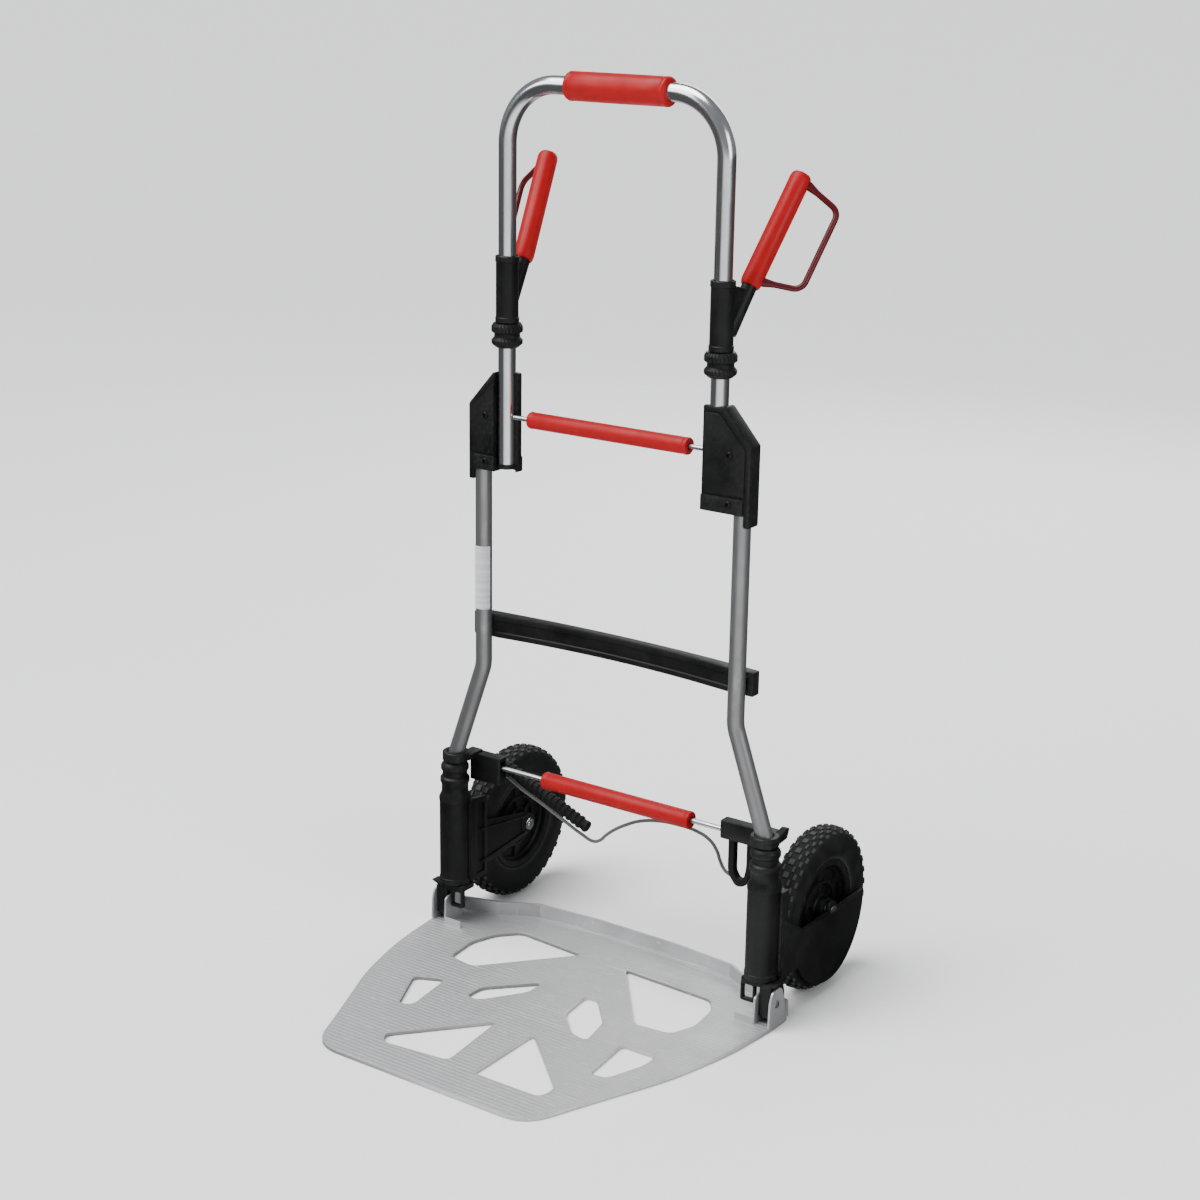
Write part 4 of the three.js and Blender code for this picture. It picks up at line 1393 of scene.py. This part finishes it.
@dataclass
class WheelSide(SideAssembly):
    """Swing-in wheel arm with its shield, and the wheel on its axle."""

    treads: int = 72
    spokes: int = 6
    bore: float = 0.0122
    bridge_top: float = 0.199
    shield_reach: float = 0.106
    shorter: float = 0.87
    ear: float = 0.013

    def build(self) -> None:
        """Makes every piece."""
        tyre = Extent.of("tyre_right")
        self.centre = tyre.centre
        self.radius = tyre.size.z / 2
        self.half = tyre.size.x / 2
        self.arm()
        self.tyre()
        self.rim()
        self.fixings()

    def on_axle(self, solid: Solid) -> Solid:
        """Lays a solid that was turned about Z on the axle."""
        return solid.along_x(self.centre)

    def arm(self) -> None:
        """The sleeve on the post, the domed shield outboard of the wheel and the cheek inboard of it."""
        box, x = Extent.of("wheel_arm_right"), self.centre.x
        low, high = Extent.of("foot_right").high.z + 0.4 * MM, box.high.z
        levels = [(21.5, 0), (23.6, 1.2), (24, 3), (24, 9), (23.2, 10), (23.2, 132), (24, 133), (24, 138),
                  (20.4, 146), (20, 148), (20, 159), (20.6, 160), (22, 163), (22, 169), (20.6, 171),
                  (18.5, 172), (18.5, 180), (20.4, 181.5), (21, 183), (21, 188), (19.5, 191), (17, 194)]
        profile = [(0, low), *((r * MM, low + z * MM) for r, z in levels), (0, high)]
        sleeve = Solid.turned(profile, 56).at((x, 0, 0))
        bore = Solid.drum(self.bore, low - PAST, high + PAST).at((x, 0, 0))
        room = Solid.drum(self.radius + 3 * MM, -self.half - 2 * MM, self.half + 2.3 * MM, 96)
        outer = box.high.x - 2.5 * MM
        bridge = Solid.slab(oblong(box.low.x + 1 * MM, 3 * MM, outer - 1 * MM, 22 * MM), low + 6 * MM,
                            self.bridge_top, Plane.UP, 2 * MM)
        body = sleeve.join(bridge, self.shield(low, outer), self.cheek(low, box.low.x))
        body.cut(bore, self.on_axle(room))
        self.side_piece(body, "swing_wheel_arm", "wheel_arm", "black_plastic", "wheel_arm")

    def shield(self, low: float, outer: float) -> Solid:
        """Makes the half disc outboard of the wheel, with a shallow cone and an ear over the bolt.

        Args:
            low: The height of the sleeve's lower end.
            outer: The X of the disc's outer face.

        Returns:
            The shield.
        """
        y, z, reach = self.centre.y, self.centre.z, self.shield_reach
        inner, edge = self.centre.x + self.half + 3 * MM, z + 3 * MM
        rear = [(y + (py - y) * self.shorter, pz) for py, pz in arc((y, z), reach, 274, 358, 24)]
        skirt = [(6 * MM, low), (y - 92 * MM, low), *arc((y, z), reach, 209, 270, 20), *rear,
                 (y + reach * self.shorter, edge), *arc((y, edge), self.ear, 0, 180, 16), (y - 80 * MM, edge),
                 (6 * MM, edge + 36 * MM)]
        wall = Solid.slab(skirt, inner, outer, Plane.ACROSS, 1.4 * MM)
        cone = Solid.turned([(0, inner), (reach - 6 * MM, inner), (reach - 6 * MM, outer),
                             (reach - 9 * MM, outer + 0.8 * MM), (26 * MM, outer + 4.4 * MM),
                             (12 * MM, outer + 5 * MM), (0, outer + 5.2 * MM)], 72)
        bmesh.ops.scale(cone.bm, vec=(1, self.shorter, 1), verts=cone.bm.verts[:])
        cone.along_x((0, y, z))
        above = Solid.slab(oblong(y - 0.2, edge - 1.5 * MM, y + 0.2, z + 0.2), inner - PAST, outer + 2 * PAST,
                           Plane.ACROSS)
        return wall.join(cone.cut(above))

    def cheek(self, low: float, inner: float) -> Solid:
        """Makes the flat beside the sleeve, with a sunk panel, and the narrow arm to the axle.

        Args:
            low: The height of the sleeve's lower end.
            inner: The X of the cheek's inner face.

        Returns:
            The cheek.
        """
        y, z = self.centre.y, self.centre.z
        plate = [(4 * MM, low + 3 * MM), (44 * MM, low + 3 * MM), (44 * MM, 0.2), (4 * MM, 0.206)]
        flat = Solid.slab(soft_outline(plate, 5 * MM), inner, inner + 5 * MM, Plane.ACROSS, 0.9 * MM)
        panel = [(14 * MM, low + 11 * MM), (37 * MM, low + 11 * MM), (37 * MM, 0.192), (14 * MM, 0.195)]
        flat.cut(Solid.slab(soft_outline(panel, 4 * MM), inner - 2 * MM, inner + 2.4 * MM, Plane.ACROSS))
        arm = [(36 * MM, z - 34 * MM), (y, z - 19 * MM), (y + 19 * MM, z - 8 * MM), (y + 19 * MM, z + 8 * MM),
               (y, z + 19 * MM), (36 * MM, z + 40 * MM)]
        link = Solid.slab(soft_outline(arm, 12 * MM), inner + 0.6 * MM, inner + 3.8 * MM, Plane.ACROSS,
                          0.7 * MM)
        ribs = [Solid.slab([(30 * MM, z + a), (y, z + b), (y, z + b + 2.4 * MM), (30 * MM, z + a + 3 * MM)],
                           inner - 1.6 * MM, inner + 2 * MM, Plane.ACROSS, 0.6 * MM)
                for a, b in ((-26 * MM, -13 * MM), (27 * MM, 11 * MM))]
        boss = Solid.turned([(0, 0), (15 * MM, 0), (16 * MM, 1 * MM), (16 * MM, 5 * MM), (0, 5 * MM)], 40)
        return flat.join(link, boss.along_x((inner - 1 * MM, y, z)), *ribs)

    def ring(self, side: Sequence[Point], steps: int) -> Solid:
        """A ring about Z whose two sides are alike, from one side's profile in millimetres."""
        profile = in_mm(side)
        return Solid.turned([*profile, *((a, -z) for a, z in reversed(profile))], steps, hollow=True)

    def polar(self, face: bmesh.types.BMFace, steps: int) -> tuple[float, int]:
        """Finds where a face lies round Z.

        Args:
            face: The face.
            steps: Steps in the full turn.

        Returns:
            Its distance from Z, and the step that it lies in.
        """
        middle = face.calc_center_median()
        turn = int((math.atan2(middle.y, middle.x) % FULL_TURN) / FULL_TURN * steps)
        return math.hypot(middle.x, middle.y), turn

    def tyre(self) -> None:
        """The tyre with rows of raised tread blocks."""
        h = self.half / MM
        tyre = self.ring([(74.4, h - 5), (79, h - 2.6), (86, h - 0.9), (94, h), (97, h - 0.6), (104, h - 0.8),
                          (110.6, h - 2.6), (114.6, h - 6), (116.9, h - 11), (117.6, h - 16)], self.treads)
        blocks = []
        for face in tyre.bm.faces:
            spot, turn = self.polar(face, self.treads)
            row = int((face.calc_center_median().z + self.half) / (self.half / 3.5))
            if spot > 109 * MM and (turn + row) % 2 == 0:
                blocks.append(face)
        for depth in (0, self.radius - 117.9 * MM):
            bmesh.ops.inset_individual(tyre.bm, faces=blocks, thickness=0.5 * MM, depth=depth,
                                       use_even_offset=True)
        self.side_piece(self.on_axle(tyre), "block_tread_tyre", "wheel", "tyre", "tyre", angle=28)

    def rim(self) -> None:
        """The rim: a dished web with ring ribs and a pocket between each two spokes."""
        h, per_spoke = self.half / MM, 10
        steps = self.spokes * per_spoke
        rim = self.ring([(11.3, h - 1), (15, h - 1), (17, h - 2), (18.5, 9.5), (20, 8), (36, 7), (37, 9),
                         (40, 9), (41, 7), (60, 6), (62.5, 8), (64, h - 6.5), (66, h - 5.4), (72.5, h - 5.2),
                         (74, h - 6.2)], steps)
        for way in (-1, 1):
            for spoke in range(self.spokes):
                pocket: list[tuple[float, bmesh.types.BMFace]] = []
                for face in rim.bm.faces:
                    spot, turn = self.polar(face, steps)
                    shown = face.calc_center_median().z * way > 5 * MM
                    if shown and turn // per_spoke == spoke and 1 <= turn % per_spoke <= per_spoke - 2:
                        pocket.append((spot, face))
                for least, most in ((41 * MM, 60 * MM), (20 * MM, 36 * MM)):
                    group = [face for spot, face in pocket if least < spot < most]
                    bmesh.ops.inset_region(rim.bm, faces=group, thickness=1.2 * MM, use_even_offset=True)
                    bmesh.ops.inset_region(rim.bm, faces=group, thickness=0.8 * MM, depth=-3 * MM,
                                           use_even_offset=True)
        self.side_piece(self.on_axle(rim), "dished_rim", "wheel", "black_plastic", "rim", angle=30)

    def fixings(self) -> None:
        """The axle bolt and its nut."""
        box = Extent.of("axle_right")
        low, high = box.low.x - self.centre.x, box.high.x - self.centre.x
        profile = [(0, low), (5 * MM, low), (6 * MM, low + 1 * MM), (6 * MM, high - 5 * MM),
                   (9 * MM, high - 4.6 * MM), (9 * MM, high - 3 * MM), (0, high - 2.6 * MM)]
        self.side_piece(self.on_axle(Solid.turned(profile, 40)), "axle_bolt", "wheel_arm", "steel", "axle")
        box = Extent.of("axle_nut_right")
        low, high = box.low.x - self.centre.x, box.high.x - self.centre.x
        nut = Solid.slab(arc((0, 0), 10 * MM, 0, 300, 5), low, high, Plane.UP, 0.7 * MM,
                         [arc((0, 0), 6.1 * MM, 0, 345, 23)])
        self.side_piece(self.on_axle(nut), "hex_axle_nut", "wheel_arm", "steel", "axle_nut")


@dataclass
class LatchSet(Assembly):
    """The latch blocks on the posts and the stowed tie-down cord."""

    cord_radius: float = 0.0025
    ribs: int = 16
    route: Sequence[Point] = (
        (-216, 58, 232), (-186, 57, 218), (-150, 56, 205), (-110, 56, 188), (-76, 57, 173), (-56, 58, 167),
        (-44, 58, 172), (-34, 57, 182), (-20, 56, 194), (0, 56, 207), (26, 56, 220), (56, 56, 228),
        (92, 56, 231), (124, 56, 229), (146, 56, 221), (158, 56, 208), (164, 56, 194), (172, 56, 182),
        (181.5, 56, 177),
    )
    handle_start: Point = (-226, 58, 252)
    handle_end: Point = (-66, 58, 186)
    loop_outline: Sequence[Point] = ((182, 252), (182, 184), (196, 166), (212, 170), (222, 196), (222, 252))
    loop_hole: Sequence[Point] = ((192, 243), (192, 188), (199, 178), (208, 180), (212, 198), (212, 243))
    block_end: float = 0.262

    def build(self) -> None:
        """Makes every piece."""
        for side in Side:
            self.block(side)
        handle = self.handle()
        loop = self.loop()
        self.cord(handle, loop)

    def block(self, side: Side) -> None:
        """Makes a clamp ring on the post with the block that holds one end of the bar.

        Args:
            side: The block's side.
        """
        node = f"latch_block_{side.word}"
        box, post = Extent.of(node), Extent.of("wheel_arm_right")
        base, x = post.high.z + 3 * MM, post_x()
        reach = (box.low.x if side is Side.RIGHT else -box.high.x)
        rod = Extent.of("lower_release_rod")
        ring = Solid.turned([(0, base), (19 * MM, base), (20 * MM, base + 1 * MM), (20 * MM, base + 13 * MM),
                             (19 * MM, base + 14 * MM), (0, base + 14 * MM)], 48).at((x - 2 * MM, 0, 0))
        neck = Solid.slab(oblong(x - 22 * MM, 6 * MM, x - 2 * MM, 40 * MM), base, base + 9 * MM, Plane.UP,
                          1.2 * MM)
        outline = soft_outline(oblong(reach, 25 * MM, self.block_end, 44 * MM), 4 * MM)
        hook_rise = 13 * MM if box.high.z > base + 13 * MM else 0
        block = Solid.slab(outline, box.low.z, box.high.z - hook_rise, Plane.UP, 1.4 * MM)
        mouth = oblong(rod.centre.y - 5 * MM, rod.low.z - 1 * MM, rod.centre.y + 5 * MM, rod.high.z + 7 * MM)
        slot = Solid.slab(mouth, reach - 1 * MM, reach + 19 * MM, Plane.ACROSS)
        bore = Solid.drum(14 * MM, base - PAST, base + 3 * PAST).at((x - 3 * MM, 0, 0))
        barb = [(8 * MM, base + 1 * MM), (30 * MM, base + 3 * MM), (36 * MM, base + 17 * MM),
                (28 * MM, base + 19 * MM), (8 * MM, base + 11 * MM)]
        hook = Solid.slab(soft_outline(barb, 3 * MM), x + 6 * MM, x + 16 * MM, Plane.ACROSS, 1.4 * MM)
        body = ring.join(neck, block, hook).cut(slot, bore)
        if side is Side.LEFT:
            body.mirrored()
        self.piece(body, f"bar_latch_block_{side.word}", "frame", "black_plastic", node)

    def handle(self) -> bpy.types.Object:
        """Makes the ribbed rubber handle of the cord.

        Returns:
            The handle.
        """
        start, end = Vector(self.handle_start) * MM, Vector(self.handle_end) * MM
        long = (end - start).length
        pitch = (long - 20 * MM) / self.ribs
        profile = [(0, 0), (6 * MM, 0), (7.5 * MM, 1.5 * MM), (8 * MM, 8 * MM)]
        for k in range(self.ribs):
            base = 10 * MM + k * pitch
            profile += [(8.2 * MM, base), (9.9 * MM, base + pitch * 0.22), (9.9 * MM, base + pitch * 0.6),
                        (8.2 * MM, base + pitch * 0.8)]
        profile += [(8 * MM, long - 8 * MM), (9 * MM, long - 6 * MM), (9 * MM, long - 2 * MM), (7 * MM, long),
                    (0, long)]
        grip = Solid.turned(profile, 32).aimed(start, end - start)
        return self.piece(grip, "ribbed_tie_handle", "frame", "black_rubber", "tie_handle", angle=28)

    def loop(self) -> bpy.types.Object:
        """Makes the strap loop at the cord's other end.

        Returns:
            The loop.
        """
        outline, hole = in_mm(self.loop_outline), in_mm(self.loop_hole)
        loop = Solid.slab(soft_outline(outline, 10 * MM), 46 * MM, 58 * MM, Plane.BACK, 1.8 * MM,
                          [soft_outline(hole, 7 * MM)], 3)
        return self.piece(loop, "strap_loop", "frame", "black_rubber", "tie_loop")

    def cord(self, handle: bpy.types.Object, loop: bpy.types.Object) -> None:
        """Makes the cord between the handle and the loop.

        Args:
            handle: The handle.
            loop: The loop.
        """
        curve = bpy.data.curves.new("stowed_tie_cord", "CURVE")
        curve.dimensions = "3D"
        curve.bevel_depth = self.cord_radius
        curve.bevel_resolution = 5
        curve.resolution_u = 8
        curve.use_fill_caps = True
        spline = curve.splines.new("BEZIER")
        spline.bezier_points.add(len(self.route) - 1)
        for point, place in zip(spline.bezier_points, self.route):
            point.co = Vector(place) * MM
            point.handle_left_type = point.handle_right_type = "AUTO"
        made = bpy.data.objects.new("stowed_tie_cord", curve)
        bpy.context.scene.collection.objects.link(made)
        self.settle(made, "frame", "cord", "tie_cord")


@dataclass
class BlankLabel(Assembly):
    """The blank film on the left frame tube."""

    lift: float = 0.0004
    start: float = 188.0
    end: float = 352.0

    def build(self) -> None:
        """Makes the film."""
        box, tube = Extent.of("blank_label"), Extent.of("frame_tube_left")
        radius = tube.size.y / 2 + 0.3 * MM
        x = tube.high.x - tube.size.y / 2
        outside, inside = (arc((x, 0), r, self.start, self.end, 30) for r in (radius + self.lift, radius))
        film = Solid.slab([*outside, *reversed(inside)], box.low.z, box.high.z, Plane.UP, 0.1 * MM, (), 1)
        self.piece(film, "blank_tube_label", "frame", "white_film", "blank_label")


# ---- Setting --------------------------------------------------------------------------------------


@dataclass(frozen=True)
class Setting:
    """Floor, light and camera."""

    camera_place: Point = (1.6580, -2.4056, 1.4422)
    heading: float = 34.75
    pitch: float = 16.76
    roll: float = 0.875
    lens: float = 66.0
    floor_half: float = 150.0
    # Painted reflection on the floor: (place round the truck, brightness) stops of the light and dark wedges
    # that glossy rays see.
    sectors: Sequence[Point] = ((0.02, 0.05), (0.2, 0.04), (0.27, 0.8), (0.42, 0.9), (0.49, 0.12),
                                (0.6, 0.03), (0.78, 0.04), (0.85, 0.4), (0.9, 0.4), (0.96, 0.05))
    pale: Colour = (0.9, 0.9, 0.9)
    aim: Point = (0, 0, 0.6)

    def build(self) -> None:
        """Makes the setting."""
        self.floor()
        self.camera()
        self.world()
        self.sun()
        self.lamp("key", (-1.9, -2.4, 2.9), 2.2, 70)
        self.lamp("side", (3.2, -0.6, 1.9), 1.8, 40)
        self.lamp("back", (-0.8, 3.4, 2.4), 2.4, 50)

    def floor(self) -> None:
        """The plain pale floor."""
        bm = bmesh.new()
        bmesh.ops.create_grid(bm, x_segments=1, y_segments=1, size=self.floor_half)
        mesh = bpy.data.meshes.new("floor")
        bm.to_mesh(mesh)
        bm.free()
        floor = bpy.data.objects.new("floor", mesh)
        floor.location.z = -0.5 * MM
        bpy.context.scene.collection.objects.link(floor)
        mesh.materials.append(self.paper())

    def paper(self) -> bpy.types.Material:
        """Makes the pale floor with a painted reflection: glossy rays see it in light and dark wedges, like a
        studio's panels, which paint highlights and dark edges onto the bright tubes.

        Returns:
            The material.
        """
        shader = Shader("pale_floor", self.pale, 0.75, 0.0)
        shader.surface.inputs["Specular IOR Level"].default_value = 0.1
        around = shader.tree.nodes.new("ShaderNodeTexGradient")
        around.gradient_type = "RADIAL"
        shader.tree.links.new(shader.coords, around.inputs["Vector"])
        ramp = shader.node("ShaderNodeValToRGB", Fac=around.outputs["Fac"]).color_ramp
        # Painted reflection: glossy rays see these light and dark wedges round the truck, which paint
        # highlights and dark edges onto the bright tubes.
        for place, value in self.sectors:
            stop = ramp.elements.new(place)
            stop.color = (value, value, value, 1)
        for _ in range(2):
            ramp.elements.remove(ramp.elements[0 if ramp.elements[0].color[0] < 0.01 else -1])
        sectors = shader.tree.nodes["Color Ramp"].outputs["Color"]
        glossy = shader.tree.nodes.new("ShaderNodeLightPath").outputs["Is Glossy Ray"]
        # The camera and all other rays see the floor evenly pale; only glossy rays see the painted
        # reflection.
        shader.use("Base Color", shader.blend(glossy, self.pale, sectors))
        return shader.material

    def camera(self) -> None:
        """The camera, from in front and to the right."""
        turn, dip, lean = (math.radians(a) for a in (self.heading, self.pitch, self.roll))
        ahead = Vector((-math.sin(turn) * math.cos(dip), math.cos(turn) * math.cos(dip), -math.sin(dip)))
        level = Vector((math.cos(turn), math.sin(turn), 0))
        rise = level.cross(ahead)
        right = level * math.cos(lean) + rise * math.sin(lean)
        up = rise * math.cos(lean) - level * math.sin(lean)
        data = bpy.data.cameras.new("camera")
        data.lens, data.sensor_width = self.lens, 36.0
        camera = bpy.data.objects.new("camera", data)
        axes = Matrix((right, up, -ahead)).transposed().to_4x4()
        camera.matrix_world = Matrix.Translation(self.camera_place) @ axes
        bpy.context.scene.collection.objects.link(camera)
        bpy.context.scene.camera = camera

    def world(self) -> None:
        """White surroundings to the eye, and dimmer ones to what they light."""
        world = bpy.data.worlds.new("studio")
        world.use_nodes = True
        bpy.context.scene.world = world
        tree = world.node_tree
        lit = tree.nodes["Background"]
        lit.inputs["Color"].default_value = (0.86, 0.9, 0.95, 1)
        lit.inputs["Strength"].default_value = 0.3
        seen = tree.nodes.new("ShaderNodeBackground")
        seen.inputs["Color"].default_value = (1, 1, 1, 1)
        seen.inputs["Strength"].default_value = 2.2
        path, mix = tree.nodes.new("ShaderNodeLightPath"), tree.nodes.new("ShaderNodeMixShader")
        tree.links.new(path.outputs["Is Camera Ray"], mix.inputs["Fac"])
        tree.links.new(lit.outputs["Background"], mix.inputs[1])
        tree.links.new(seen.outputs["Background"], mix.inputs[2])
        tree.links.new(mix.outputs["Shader"], tree.nodes["World Output"].inputs["Surface"])

    def sun(self) -> None:
        """A broad soft sun, which lights the whole floor evenly."""
        data = bpy.data.lights.new("sun", "SUN")
        data.energy, data.angle = 4.4, math.radians(50)
        lamp = bpy.data.objects.new("sun", data)
        lamp.rotation_euler = (math.radians(14), math.radians(-16), 0)
        bpy.context.scene.collection.objects.link(lamp)

    def lamp(self, name: str, place: Point, size: float, power: float) -> None:
        """Makes a soft square lamp, aimed at the truck's middle.

        Args:
            name: The lamp's name.
            place: Where it stands.
            size: The length of its sides.
            power: Its power in watts.
        """
        data = bpy.data.lights.new(name, "AREA")
        data.size, data.energy = size, power
        lamp = bpy.data.objects.new(name, data)
        lamp.location = place
        lamp.rotation_euler = (Vector(self.aim) - Vector(place)).to_track_quat("-Z", "Y").to_euler()
        bpy.context.scene.collection.objects.link(lamp)


def main() -> None:
    """Builds the setting and every sub-assembly in order."""
    logging.basicConfig(level=logging.INFO, format="%(name)s: %(message)s")
    Setting().build()
    wardrobe = Wardrobe()
    wardrobe.dress_nodes()
    LatchSet(wardrobe).build()
    UHandle(wardrobe).build()
    for name in ("upper_release", "lower_release"):
        ReleaseBar(wardrobe, name).build()
    for single in (CrossBar, BlankLabel, ToePlate):
        single(wardrobe).build()
    for side in Side:
        for paired in (FrameSide, SideHandle, WheelSide):
            paired(wardrobe, side).build()


if __name__ == "__main__":
    main()
